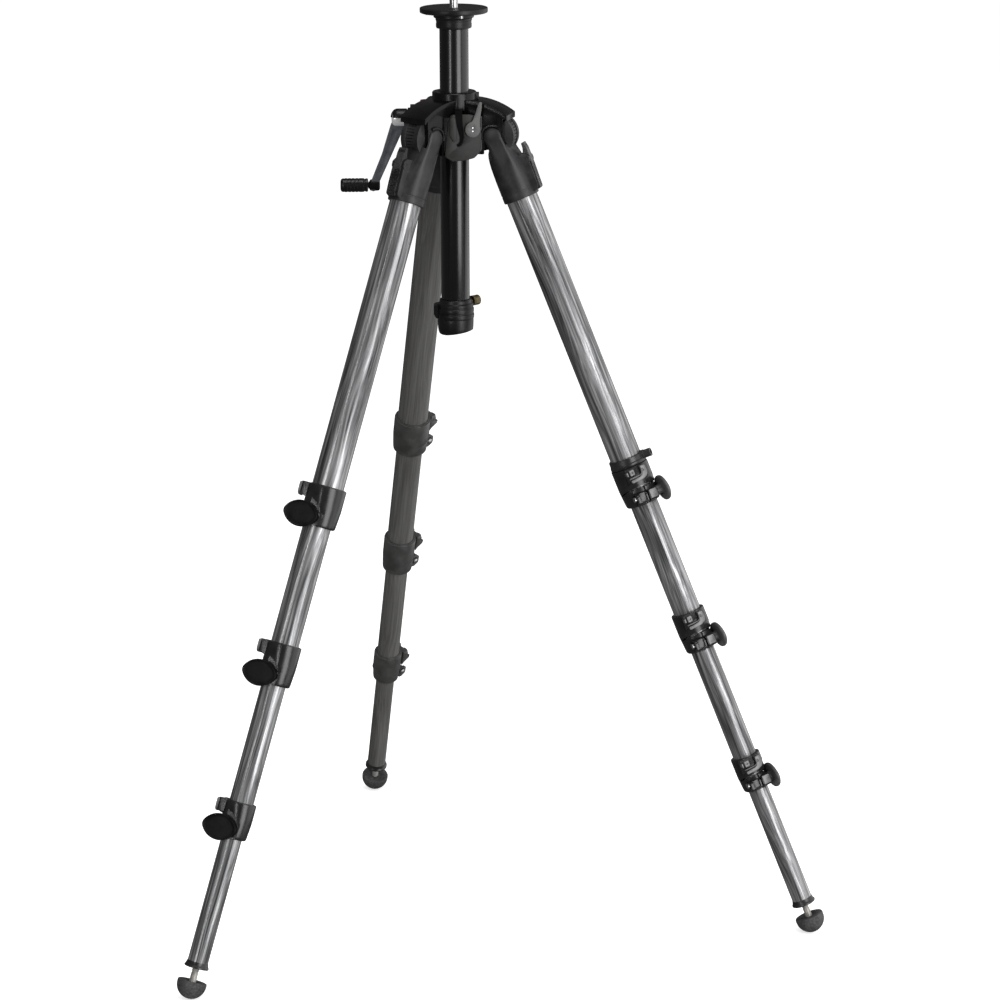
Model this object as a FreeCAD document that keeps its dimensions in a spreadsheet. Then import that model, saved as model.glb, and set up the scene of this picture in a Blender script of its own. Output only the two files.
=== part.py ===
import FreeCAD, Part
import Sketcher
import math
import os
import re

# A camera tripod: a cast hub, a geared centre column with a crank, and three legs,
# each of four telescoping tubes with three clamps.
# +X is to the right, +Y is away from the front, +Z is up.
# The origin is the centre of the head plate's top face, on the column's axis.

Vector = FreeCAD.Vector
Rotation = FreeCAD.Rotation
Placement = FreeCAD.Placement

DIMENSIONS = [
    # Head of the column
    ("plate_radius", 39.0, "head plate, outer radius"),
    ("plate_rim", 6.0, "thickness of the head plate's rim"),
    ("plate_web", 8.0, "thickness of the head plate over the column"),
    ("plate_neck_radius", 23.0, "upper step of the plate's neck"),
    ("plate_neck_length", 7.0, "length of that step"),
    ("plate_collar_radius", 20.0, "lower step of the plate's neck"),
    ("plate_collar_end", 19.2, "depth of the neck's lower end"),
    ("stud_radius", 4.76, "3/8 inch camera stud"),
    ("stud_reach", 12.0, "how far the stud stands out of the plate"),
    ("stud_shoulder_radius", 5.6, "plain shoulder of the stud, inside the plate"),
    ("stud_head_radius", 8.0, "hexagon head of the stud"),
    ("stud_head_height", 6.0, "height of that head"),
    ("grub_radius", 2.5, "grub screws under the plate"),
    ("grub_circle", 31.0, "circle on which they sit"),
    ("grub_drop", 3.5, "how far they hang below the rim"),
    # Column
    ("column_radius", 16.65, "outside of the column tube"),
    ("column_wall", 2.2, "wall of the column tube"),
    ("column_end", 355.0, "depth of the tube's lower end"),
    ("rack_width", 8.0, "width of the rack"),
    ("rack_floor", 12.6, "back of the rack, from the column's axis"),
    ("rack_pitch_line", 15.1, "pitch line of the rack, from the column's axis"),
    ("rack_top", 50.0, "depth of the rack's upper end"),
    ("rack_run", 264.0, "length of the slot for the rack"),
    ("tooth_count", 83, "teeth on the rack"),
    ("backlash", 0.06, "thinning of each tooth's side"),
    ("gear_module", 1.0, "module of rack and pinion"),
    ("end_top", 338.5, "depth of the lower collar's top"),
    ("end_flare", 350.0, "depth at which that collar reaches its full radius"),
    ("end_bottom", 361.0, "depth of that collar's bottom"),
    ("end_small_radius", 18.5, "lower collar at its top"),
    ("end_radius", 22.0, "lower collar at its foot"),
    ("end_cap_bottom", 380.5, "depth of the end cap's lowest side"),
    ("end_cap_radius", 20.5, "end cap at its foot"),
    ("thumb_azimuth", 45.0, "direction of the thumb-screw"),
    ("thumb_depth", 345.0, "depth of the thumb-screw's axis"),
    ("thumb_radius", 6.0, "head of the thumb-screw"),
    ("thumb_start", 26.0, "inner face of that head, from the axis"),
    ("thumb_length", 10.5, "length of that head"),
    # Hub
    ("collar_radius", 25.5, "ring at the hub's top"),
    ("collar_top", 95.7, "depth of the hub's top"),
    ("collar_bottom", 115.2, "depth of the ring's lower edge"),
    ("sleeve_radius", 23.0, "sleeve that holds the column's bushes"),
    ("sleeve_bore", 19.0, "bore for the bushes"),
    ("hub_bottom", 167.0, "depth of the hub's lower edge"),
    ("bush_clearance", 0.08, "running clearance round the column"),
    ("bush_length", 17.0, "length of each bush"),
    ("arm_crown_radius", 86.0, "radius of the arms' upper surface"),
    ("arm_crown_x", 16.6, "centre of that arc, from the hub's axis"),
    ("arm_crown_z", 189.6, "depth of that centre"),
    ("arm_plate", 5.0, "thickness of the arms' top plate"),
    ("arm_half_width", 20.0, "half the width of an arm"),
    ("arm_reach", 67.0, "outer end of an arm, from the hub's axis"),
    ("cheek_inner", 14.0, "inner face of a cheek, from the arm's middle"),
    ("cheek_outer", 19.5, "outer face of a cheek"),
    ("cheek_eye_radius", 11.5, "round end of a cheek about the hinge"),
    ("cheek_reach", 62.0, "outer end of a cheek's upper part"),
    ("cheek_lower", 132.0, "depth of the lower edge of that part"),
    ("web_face", 37.0, "outer face of the webs between the arms"),
    ("web_thickness", 4.0, "thickness of those webs"),
    ("web_half_width", 22.5, "half the width of a web"),
    ("web_top", 121.0, "depth of a web's upper edge"),
    # Gear
    ("shaft_offset", 22.6, "crank shaft, behind the column's axis"),
    ("shaft_depth", 130.0, "depth of the crank shaft"),
    ("shaft_radius", 4.0, "crank shaft"),
    ("pinion_teeth", 15, "teeth on the pinion"),
    ("pinion_width", 7.4, "face width of the pinion"),
    ("gear_boss_radius", 11.0, "boss round the shaft"),
    ("gear_block_end", 51.0, "outer end of the gear block, from the column's axis"),
    ("gear_block_top", 115.0, "depth of the gear block's top"),
    ("bearing_cap_end", 54.0, "outer face of the bearing cap"),
    ("level_radius", 6.2, "round spirit level"),
    ("level_height", 4.0, "height of the level"),
    # Crank
    ("crank_head_radius", 10.0, "head of the crank on the shaft"),
    ("crank_head_start", 54.6, "inner face of that head, from the column's axis"),
    ("crank_head_end", 70.0, "outer face of that head"),
    ("crank_reach", 78.0, "from the shaft to the grip's axis"),
    ("crank_bar_width", 9.0, "width of the crank arm"),
    ("crank_boss_radius", 6.0, "boss at the arm's lower end"),
    ("crank_boss_length", 10.0, "length of that boss"),
    ("crank_pin_radius", 3.0, "pin on which the grip turns"),
    ("crank_grip_start", 101.0, "inner end of the grip, from the column's axis"),
    ("crank_grip_end", 133.0, "outer end of the grip"),
    ("crank_grip_radius", 8.1, "grip"),
    # Lock lever
    ("lever_eye_radius", 10.3, "round eye of the lock lever"),
    ("lever_side", 10.5, "the eye's centre, sideways from the web's middle"),
    ("lever_depth", 135.0, "depth of the eye's centre"),
    # Leg hinges
    ("hip_radius", 50.0, "hinge, from the hub's axis"),
    ("hip_depth", 144.4, "depth of the hinge"),
    ("leg_spread", 22.41, "angle between a leg and the column, in degrees"),
    ("first_azimuth", 225.0, "direction of the left leg, in degrees"),
    ("hip_pin_radius", 5.0, "hinge pin"),
    ("hip_cap_radius", 9.0, "caps on the pin's ends"),
    ("hip_cap_end", 21.0, "outer face of a cap, from the arm's middle"),
    ("fit_clearance", 0.05, "running clearance of pins and screws"),
    ("head_half_width", 13.6, "half the width of a leg's head"),
    ("head_radius", 17.0, "leg's head about the hinge"),
    ("drum_radius", 24.0, "ratchet drum on the head's outer side"),
    ("socket_radius", 21.0, "leg casting round its tube"),
    ("socket_start", 50.0, "where the tube starts, from the hinge"),
    ("socket_end", 78.4, "lower end of the leg casting, from the hinge"),
    # Leg tubes and clamps
    ("tube_wall", 1.5, "wall of the leg tubes"),
    ("tube_length", 410.0, "length of the three inner tubes"),
    ("tube_radius_1", 18.5, "outside of the first tube"),
    ("tube_radius_2", 16.2, "outside of the second tube"),
    ("tube_radius_3", 14.0, "outside of the third tube"),
    ("tube_radius_4", 11.85, "outside of the fourth tube"),
    ("clamp_start_1", 414.0, "top of the first clamp, from the hinge"),
    ("clamp_start_2", 599.5, "top of the second clamp, from the hinge"),
    ("clamp_start_3", 785.7, "top of the third clamp, from the hinge"),
    ("clamp_length_1", 47.0, "length of the first clamp"),
    ("clamp_length_2", 48.0, "length of the second clamp"),
    ("clamp_length_3", 42.2, "length of the third clamp"),
    ("clamp_wall", 3.8, "a clamp's wall round its upper tube"),
    ("clamp_split", 0.57, "share of a clamp's length above its cross slot"),
    ("clamp_slot", 2.0, "width of the slots in a clamp"),
    ("lug_azimuth", -55.0, "direction of a clamp's lugs about the leg, in degrees"),
    ("lug_start", 8.0, "inner side of a clamp's lug, from the leg's axis"),
    ("lug_side", 16.0, "the lug's farther side, from the slit"),
    ("lug_width", 25.0, "width of the lug"),
    ("lug_depth", 15.0, "depth of the lug's foot below the clamp's top"),
    ("lug_height", 13.0, "height of the lug"),
    ("lug_reach", 8.5, "how far the lug stands out of the collar"),
    ("ear_start", 6.0, "inner side of the ears, from the leg's axis"),
    ("ear_side", 14.5, "outer face of the screw head's ear, from the slit"),
    ("ear_width", 27.0, "width over both ears"),
    ("ear_height", 15.0, "height of the ears"),
    ("ear_reach", 9.0, "from the screw's axis to the ears' outer end"),
    ("pocket_side", 13.5, "farther side of the lug's pocket, from the slit"),
    ("pocket_width", 15.0, "width of that pocket"),
    ("pocket_depth", 13.0, "depth of the pocket's foot below the clamp's top"),
    ("pocket_height", 9.0, "height of the pocket"),
    ("knob_seat_radius", 6.2, "round seat for the knob's neck"),
    ("knob_seat", 12.5, "that seat, from the slit"),
    ("knob_neck_radius", 5.5, "neck of the knob"),
    ("knob_neck_start", 12.8, "inner end of that neck, from the slit"),
    ("knob_length", 42.0, "knob, tip to tip"),
    ("knob_width", 31.0, "knob, across"),
    ("knob_thickness", 4.6, "thickness of the knob's wing"),
    ("knob_flat", 0.8, "from the upper tube's surface to the flat behind the knob"),
    ("knob_gap", 0.4, "gap between that flat and the knob"),
    ("clamp_screw_radius", 2.0, "clamp screw"),
    ("clamp_screw_offset", 2.5, "from the inner tube's surface to the screw's axis"),
    ("clamp_screw_rise", 10.0, "the screw's axis, above the clamp's foot"),
    ("clamp_screw_end", 19.0, "the screw's end in the knob, from the slit"),
    ("clamp_head_radius", 3.6, "head of the clamp screw"),
    ("clamp_head_face", 17.0, "outer face of that head, from the slit"),
    ("clamp_head_height", 2.0, "height of that head"),
    ("glide_length", 36.0, "glide ring at an inner tube's upper end"),
    ("glide_drop", 38.0, "the glide ring's lower end, below the tube's upper end"),
    ("clip_depth", 407.0, "middle of the tool clip, from the hinge"),
    ("clip_width", 8.0, "width of the clip's ring"),
    ("clip_wall", 2.4, "wall of that ring"),
    ("clip_stub_radius", 4.9, "stub that holds the hexagon key"),
    ("clip_stub_length", 12.5, "length of the stub"),
    ("clip_socket_radius", 3.3, "socket in the stub"),
    ("clip_socket_floor", 23.0, "floor of the socket, from the leg's axis"),
    # Feet
    ("flange_start", 975.8, "flange at the last tube's end, from the hinge"),
    ("flange_radius", 14.2, "that flange"),
    ("flange_thickness", 4.4, "its thickness"),
    ("foot_plug", 22.0, "plug inside the last tube"),
    ("foot_pin_end", 3.0, "how far the pin reaches into the dome"),
    ("foot_pin_radius", 4.0, "steel pin of the foot"),
    ("foot_centre", 999.3, "centre of the foot's dome, from the hinge"),
    ("foot_radius", 17.0, "rubber dome of the foot"),
    ("foot_rim", 4.0, "straight rim above the dome"),
]

ALIASES = {name for name, value, note in DIMENSIONS}
TURN_TO = {
    "Z": Rotation(),
    "X": Rotation(Vector(0, 1, 0), 90),
    "Y": Rotation(Vector(1, 0, 0), -90),
}

doc = FreeCAD.newDocument("Tripod")
sheet = doc.addObject("Spreadsheet::Sheet", "Dims")
for row, (name, value, note) in enumerate(DIMENSIONS, start=1):
    sheet.set(f"A{row}", note)
    sheet.set(f"B{row}", str(value))
    sheet.setAlias(f"B{row}", name)
doc.recompute()

nodes = []


def dim(name):
    """The value of one driving dimension."""
    return float(sheet.get(name))


def formula(text):
    """The text with the sheet's name put before each alias."""
    def prefixed(found):
        word = found.group()
        return "Dims." + word if word in ALIASES else word
    return re.sub(r"[a-z][a-z0-9_]*", prefixed, str(text))


def bind(obj, **sizes):
    for prop, text in sizes.items():
        obj.setExpression(prop, formula(text))


def place(obj, at, turn=None):
    """Put an object's own origin at three formulas, turned first."""
    obj.Placement = Placement(Vector(0, 0, 0), turn or Rotation())
    for axis, text in zip("xyz", at):
        obj.setExpression(f"Placement.Base.{axis}", formula(text))
    return obj


def box(name, low, size):
    """A block from its lowest corner."""
    block = doc.addObject("Part::Box", name)
    bind(block, Length=size[0], Width=size[1], Height=size[2])
    return place(block, low)


def cylinder(name, radius, length, at=(0, 0, 0), along="Z"):
    """A round bar that starts at a point and runs along an axis."""
    bar = doc.addObject("Part::Cylinder", name)
    bind(bar, Radius=radius, Height=length)
    return place(bar, at, TURN_TO[along])


def cone(name, start_radius, end_radius, length, at=(0, 0, 0), along="Z"):
    taper = doc.addObject("Part::Cone", name)
    bind(taper, Radius1=start_radius, Radius2=end_radius, Height=length)
    return place(taper, at, TURN_TO[along])


def ball(name, radius, at=(0, 0, 0)):
    sphere = doc.addObject("Part::Sphere", name)
    bind(sphere, Radius=radius)
    return place(sphere, at)


def fuse(name, *parts):
    joined = doc.addObject("Part::MultiFuse", name)
    joined.Shapes = list(parts)
    joined.Refine = True
    return joined


def common(name, *parts):
    shared = doc.addObject("Part::MultiCommon", name)
    shared.Shapes = list(parts)
    shared.Refine = True
    return shared


def cut(name, base, *tools):
    rest = doc.addObject("Part::Cut", name)
    rest.Base = base
    rest.Tool = tools[0] if len(tools) == 1 else fuse(name + "_tools", *tools)
    rest.Refine = True
    return rest


def group(name, *parts):
    """Separate solids that share one node."""
    held = doc.addObject("Part::Compound", name)
    held.Links = list(parts)
    return held


def pipe(name, outer, inner, length, at=(0, 0, 0), along="Z"):
    """A straight tube."""
    return cut(name, cylinder(name + "_outside", outer, length, at, along),
               cylinder(name + "_inside", inner, length, at, along))


def add_outline(sketch, points, closed=True):
    """Straight lines through points whose coordinates are formulas."""
    count = len(points)
    for index in range(count):
        start = Vector(index, 0.1 * index * index, 0)
        end = Vector(index + 1, 0.1 * (index + 1) ** 2, 0)
        sketch.addGeometry(Part.LineSegment(start, end), False)
    for index in range(count):
        following = (index + 1) % count
        sketch.addConstraint(Sketcher.Constraint("Coincident", index, 2, following, 1))
    for index, point in enumerate(points):
        for kind, text in zip(("DistanceX", "DistanceY"), point):
            number = sketch.addConstraint(Sketcher.Constraint(kind, -1, 1, index, 1, 1.0))
            sketch.setExpression(f"Constraints[{number}]", formula(text))


def plane_of(body, role):
    return next(item for item in body.Origin.OriginFeatures if item.Role == role)


def sketched_body(name, role, points):
    """A body with one sketch of straight lines on one of its planes."""
    body = doc.addObject("PartDesign::Body", name)
    sketch = body.newObject("Sketcher::SketchObject", name + "_outline")
    sketch.AttachmentSupport = [(plane_of(body, role), "")]
    sketch.MapMode = "FlatFace"
    add_outline(sketch, points)
    return body, sketch


def turned(name, points):
    """A solid turned about Z from an outline of (radius, height) formulas."""
    body, sketch = sketched_body(name, "XZ_Plane", points)
    turning = body.newObject("PartDesign::Revolution", name + "_turning")
    turning.Profile = sketch
    turning.ReferenceAxis = (sketch, ["V_Axis"])
    turning.Angle = 360
    body.Tip = turning
    return body


def extruded(name, points, length, role="XZ_Plane"):
    """A prism, extruded both ways from the middle of a plane."""
    body, sketch = sketched_body(name, role, points)
    pad = body.newObject("PartDesign::Pad", name + "_pad")
    pad.Profile = sketch
    pad.Midplane = True
    bind(pad, Length=length)
    body.Tip = pad
    return body


def node(obj, name, where=None):
    """Make an object a sub-part under its own name, optionally moved."""
    obj.Label = name
    if where is not None:
        obj.Placement = where
    nodes.append(obj)
    return obj


def carried(obj, where):
    """The same piece held in a carrier that is moved as a whole."""
    carrier = group(obj.Name + "_carrier", obj)
    carrier.Placement = where
    return carrier


def turned_about_column(obj, degrees):
    """Turn a piece of the hub about the column's axis."""
    return carried(obj, Placement(Vector(0, 0, 0), Rotation(Vector(0, 0, 1), degrees)))


# ---------------------------------------------------------------- column head

def make_head_plate():
    """Disc with a stepped neck that is bonded over the column's upper end."""
    disc = turned("plate_body", [
        ("stud_shoulder_radius + fit_clearance", "-plate_web"),
        ("stud_shoulder_radius + fit_clearance", 0),
        ("plate_radius - 1", 0),
        ("plate_radius", "-1"),
        ("plate_radius", "-plate_rim + 1"),
        ("plate_radius - 1", "-plate_rim"),
        ("plate_neck_radius", "-plate_rim"),
        ("plate_neck_radius", "-plate_rim - plate_neck_length"),
        ("plate_collar_radius", "-plate_rim - plate_neck_length - 1.5"),
        ("plate_collar_radius", "-plate_collar_end"),
        ("column_radius + fit_clearance", "-plate_collar_end"),
        ("column_radius + fit_clearance", "-plate_web"),
    ])
    holes = []
    for index in range(3):
        hole = cylinder(f"grub_hole_{index}", "grub_radius + fit_clearance", "plate_rim + 2",
                        ("grub_circle", 0, "-plate_rim - 1"))
        holes.append(turned_arrangement(hole, "grub_circle", 285 + 120 * index, "-plate_rim - 1"))
    node(cut("head_plate", disc, *holes), "head_plate")


def turned_arrangement(obj, radius, degrees, height):
    """Place a piece on a circle about the column: radius and height are formulas."""
    obj.setExpression("Placement.Base.x", formula(f"({radius}) * cos({degrees} deg)"))
    obj.setExpression("Placement.Base.y", formula(f"({radius}) * sin({degrees} deg)"))
    obj.setExpression("Placement.Base.z", formula(height))
    return obj


def make_head_fasteners():
    """The camera stud with its hexagon head, and the grub screws under the plate."""
    shank = cylinder("stud_shank", "stud_shoulder_radius", "plate_web", (0, 0, "-plate_web"))
    thread = cylinder("stud_thread", "stud_radius", "stud_reach - 1", (0, 0, 0))
    tip = cone("stud_tip", "stud_radius", "stud_radius - 1", 1, (0, 0, "stud_reach - 1"))
    head = doc.addObject("Part::Prism", "stud_head")
    head.Polygon = 6
    bind(head, Circumradius="stud_head_radius", Height="stud_head_height")
    place(head, (0, 0, "-plate_web - stud_head_height"))
    node(fuse("head_stud", shank, thread, tip, head), "head_stud")

    screws = []
    for index in range(3):
        thread = cylinder(f"grub_thread_{index}", "grub_radius", "plate_rim + grub_drop - 1.5", (0, 0, 0))
        turned_arrangement(thread, "grub_circle", 285 + 120 * index, "-plate_rim - grub_drop")
        socket = doc.addObject("Part::Prism", f"grub_socket_{index}")
        socket.Polygon = 6
        bind(socket, Circumradius="grub_radius * 0.55", Height=2)
        turned_arrangement(socket, "grub_circle", 285 + 120 * index, "-plate_rim - grub_drop")
        screws.append(cut(f"grub_{index}", thread, socket))
    node(group("plate_grub_screws", *screws), "plate_grub_screws")


# --------------------------------------------------------------------- column

def make_column():
    """The column tube with the slot that its rack sits in."""
    tube = pipe("column_pipe", "column_radius", "column_radius - column_wall", "column_end - plate_web - 0.1",
                (0, 0, "-column_end"))
    slot = box("rack_slot", ("-rack_width / 2 - 0.1", "rack_floor - 2", "-rack_top - rack_run - 0.2"),
               ("rack_width + 0.2", 10, "rack_run + 0.4"))
    node(cut("column_tube", tube, slot), "column_tube")


def make_rack():
    """Toothed bar, one trapezoid tooth for each pitch, teeth facing +Y."""
    module = dim("gear_module")
    pitch = math.pi * module
    line = dim("rack_pitch_line")
    tip = line + module
    root = line - 1.25 * module
    count = int(dim("tooth_count"))
    # A gap of the rack faces the shaft, and the pinion has a tooth there.
    top = rack_phase()
    half_land = 0.25 * pitch - math.tan(math.radians(20)) * module - dim("backlash")
    half_root = 0.25 * pitch + math.tan(math.radians(20)) * 1.25 * module - dim("backlash")
    points = [Vector(0, dim("rack_floor"), top), Vector(0, root, top)]
    for index in range(count):
        middle = top - (index + 0.5) * pitch
        points.append(Vector(0, root, middle + half_root))
        points.append(Vector(0, tip, middle + half_land))
        points.append(Vector(0, tip, middle - half_land))
        points.append(Vector(0, root, middle - half_root))
    bottom = top - count * pitch
    points.append(Vector(0, root, bottom))
    points.append(Vector(0, dim("rack_floor"), bottom))
    points.append(points[0])
    face = Part.Face(Part.makePolygon(points))
    width = dim("rack_width")
    solid = face.extrude(Vector(width, 0, 0))
    rack = doc.addObject("Part::Feature", "column_rack")
    rack.Shape = solid
    rack.Placement = Placement(Vector(-width / 2, 0, 0), Rotation())
    node(rack, "column_rack")


def rack_phase():
    """Height of the rack's upper end, set so that a gap is level with the shaft."""
    pitch = math.pi * dim("gear_module")
    steps = math.floor((dim("shaft_depth") - dim("rack_top")) / pitch)
    return -dim("shaft_depth") + steps * pitch


def make_column_end():
    """Flared collar, slanted cap and thumb-screw at the column's lower end."""
    collar = turned("end_collar_body", [
        ("column_radius + fit_clearance", "-end_top"),
        ("end_small_radius", "-end_top"),
        ("end_radius", "-end_flare"),
        ("end_radius", "-end_bottom"),
        ("column_radius + fit_clearance", "-end_bottom"),
    ])
    hole = turned_about_column(cylinder("thumb_hole", "2.5 + fit_clearance", 40, (0, 0, "-thumb_depth"), "X"),
                               dim("thumb_azimuth"))
    node(cut("column_end_collar", collar, hole), "column_end_collar")

    cap = turned("end_cap_body", [
        (0, "-end_bottom - 0.05"),
        ("end_radius", "-end_bottom - 0.05"),
        ("end_radius", "-end_bottom - 5"),
        ("end_cap_radius", "-end_cap_bottom + 1.5"),
        ("end_cap_radius - 1.5", "-end_cap_bottom"),
        (0, "-end_cap_bottom"),
    ])
    slant = box("end_cap_slant", (-60, -60, "-end_cap_bottom - 30"), (120, 120, 30))
    turn = Rotation(Vector(0, 1, 0), -9)
    slant.Placement = Placement(Vector(0, 0, -dim("end_cap_bottom") + 3), turn).multiply(
        Placement(Vector(-60, -60, -30), Rotation()))
    slant.setExpression("Placement.Base.x", None)
    slant.setExpression("Placement.Base.y", None)
    slant.setExpression("Placement.Base.z", None)
    node(cut("column_end_cap", cap, slant), "column_end_cap")

    head = cylinder("thumb_head", "thumb_radius", "thumb_length", ("thumb_start", 0, 0), "X")
    ribs = []
    for index in range(16):
        angle = 22.5 * index
        groove = cylinder(f"thumb_groove_{index}", 0.7, "thumb_length - 2", ("thumb_start + 1", 0, 0), "X")
        groove.setExpression("Placement.Base.y", formula(f"thumb_radius * 1.06 * cos({angle} deg)"))
        groove.setExpression("Placement.Base.z", formula(f"thumb_radius * 1.06 * sin({angle} deg)"))
        ribs.append(groove)
    shank = cylinder("thumb_shank", 2.5, "thumb_start - column_radius - 0.4", ("column_radius + 0.4", 0, 0), "X")
    screw = fuse("thumb_screw", cut("thumb_knurled", head, *ribs), shank)
    azimuth = Rotation(Vector(0, 0, 1), dim("thumb_azimuth"))
    node(screw, "end_thumbscrew", Placement(Vector(0, 0, -dim("thumb_depth")), azimuth))


# ------------------------------------------------------------------------ hub

def make_arm(index, azimuth):
    """One arm: a curved top plate over two cheeks that hold the hinge pin."""
    reach = "arm_reach - 18"
    crown = common(
        f"arm_{index}_crown",
        cut(f"arm_{index}_shell",
            cylinder(f"arm_{index}_outer", "arm_crown_radius", "2 * arm_half_width",
                     ("arm_crown_x", "-arm_half_width", "-arm_crown_z"), "Y"),
            cylinder(f"arm_{index}_inner", "arm_crown_radius - arm_plate", "2 * arm_half_width",
                     ("arm_crown_x", "-arm_half_width", "-arm_crown_z"), "Y")),
        box(f"arm_{index}_span", (18, "-arm_half_width", -135), (reach, "2 * arm_half_width", 40)))
    pieces = [crown]
    for side, start in (("a", "cheek_inner"), ("b", "-cheek_outer")):
        tag = f"arm_{index}_cheek_{side}"
        depth = "cheek_outer - cheek_inner"
        upper = common(
            tag + "_upper",
            box(tag + "_panel", (17, start, "-cheek_lower"), ("cheek_reach - 17", depth, 40)),
            cylinder(tag + "_arc", "arm_crown_radius - 1", depth, ("arm_crown_x", start, "-arm_crown_z"), "Y"))
        eye = cylinder(tag + "_eye", "cheek_eye_radius", depth, ("hip_radius", start, "-hip_depth"), "Y")
        neck = box(tag + "_neck", ("hip_radius - cheek_eye_radius", start, "-hip_depth"),
                   ("2 * cheek_eye_radius", depth, "hip_depth - cheek_lower + 0.5"))
        root = box(tag + "_root", (17, start, "-hub_bottom + 2"), (22, depth, "hub_bottom - cheek_lower"))
        pieces.extend([upper, eye, neck, root])
    arm = fuse(f"arm_{index}", *pieces)
    return turned_about_column(arm, azimuth)


def make_web(index, azimuth):
    """One upright web between two arms, with a round shoulder at its lower corners."""
    web = extruded(f"web_{index}", [
        ("-web_half_width", "-web_top"),
        ("-web_half_width", "-hub_bottom + 8"),
        ("-web_half_width + 7", "-hub_bottom"),
        ("web_half_width - 7", "-hub_bottom"),
        ("web_half_width", "-hub_bottom + 8"),
        ("web_half_width", "-web_top"),
    ], "web_thickness", "YZ_Plane")
    web.Placement = Placement(Vector(dim("web_face") - dim("web_thickness") / 2, 0, 0), Rotation())
    return turned_about_column(web, azimuth)


def make_hub():
    """The hub casting: sleeve, top ring, three arms, webs and the gear block, in one piece."""
    pieces = [
        cylinder("hub_sleeve", "sleeve_radius", "hub_bottom - collar_top", (0, 0, "-hub_bottom")),
        cylinder("hub_ring", "collar_radius", "collar_bottom - collar_top - 1", (0, 0, "-collar_bottom")),
        cone("hub_ring_edge", "collar_radius", "collar_radius - 1", 1, (0, 0, "-collar_top - 1")),
        box("hub_ring_lug", (21, -6, "-collar_bottom + 1"), (7.5, 12, "collar_bottom - collar_top - 3")),
    ]
    for index in range(3):
        azimuth = dim("first_azimuth") + 120 * index
        pieces.append(make_arm(index, azimuth))
    for index, azimuth in enumerate((285, 45)):
        pieces.append(make_web(index, azimuth))
    boss = cylinder("gear_boss", "gear_boss_radius", "gear_block_end + 14",
                    ("-gear_block_end", "shaft_offset", "-shaft_depth"), "X")
    block = box("gear_block", ("-gear_block_end", "shaft_offset - 14", "-gear_block_top - 29"),
                ("gear_block_end - 16", 22, 29))
    pieces.extend([boss, block])
    body = fuse("hub_body", *pieces)
    tools = [
        cylinder("hub_bore", "sleeve_bore", "hub_bottom", (0, 0, "-hub_bottom - 1")),
        cylinder("shaft_bore", "shaft_radius + fit_clearance", "gear_block_end + 16",
                 ("-gear_block_end - 1", "shaft_offset", "-shaft_depth"), "X"),
        cylinder("pinion_room", "gear_module * pinion_teeth / 2 + gear_module + 0.7", "pinion_width + 1.2",
                 ("-pinion_width / 2 - 0.6", "shaft_offset", "-shaft_depth"), "X"),
        carried(cylinder("lever_bore", "2.5 + fit_clearance", 24, (-22, 0, 0), "X"), lever_place()),
    ]
    for index in range(3):
        azimuth = dim("first_azimuth") + 120 * index
        hole = cylinder(f"hip_hole_{index}", "hip_pin_radius + 0.01", "2 * cheek_outer + 2",
                        ("hip_radius", "-cheek_outer - 1", "-hip_depth"), "Y")
        tools.append(turned_about_column(hole, azimuth))
        # The leg's head turns between the cheeks and under the crown.
        room = box(f"hip_room_{index}", ("sleeve_radius + 1", "-cheek_inner", "-hub_bottom - 1"),
                   (60, "2 * cheek_inner", "hub_bottom - cheek_lower - 1"))
        tools.append(turned_about_column(room, azimuth))
        round_room = cylinder(f"hip_round_{index}", "head_radius + 1.2", "2 * cheek_inner",
                              ("hip_radius", "-cheek_inner", "-hip_depth"), "Y")
        tools.append(turned_about_column(round_room, azimuth))
    node(cut("hub_casting", body, *tools), "hub_casting")


def web_place(outward, sideways, height):
    """A place on the front web: outward from the axis, sideways to the right, and up."""
    turn = Rotation(Vector(0, 0, 1), 285)
    return Placement(turn.multVec(Vector(outward, sideways, height)), turn)


def lever_place():
    return web_place(dim("web_face"), dim("lever_side"), -dim("lever_depth"))


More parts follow.
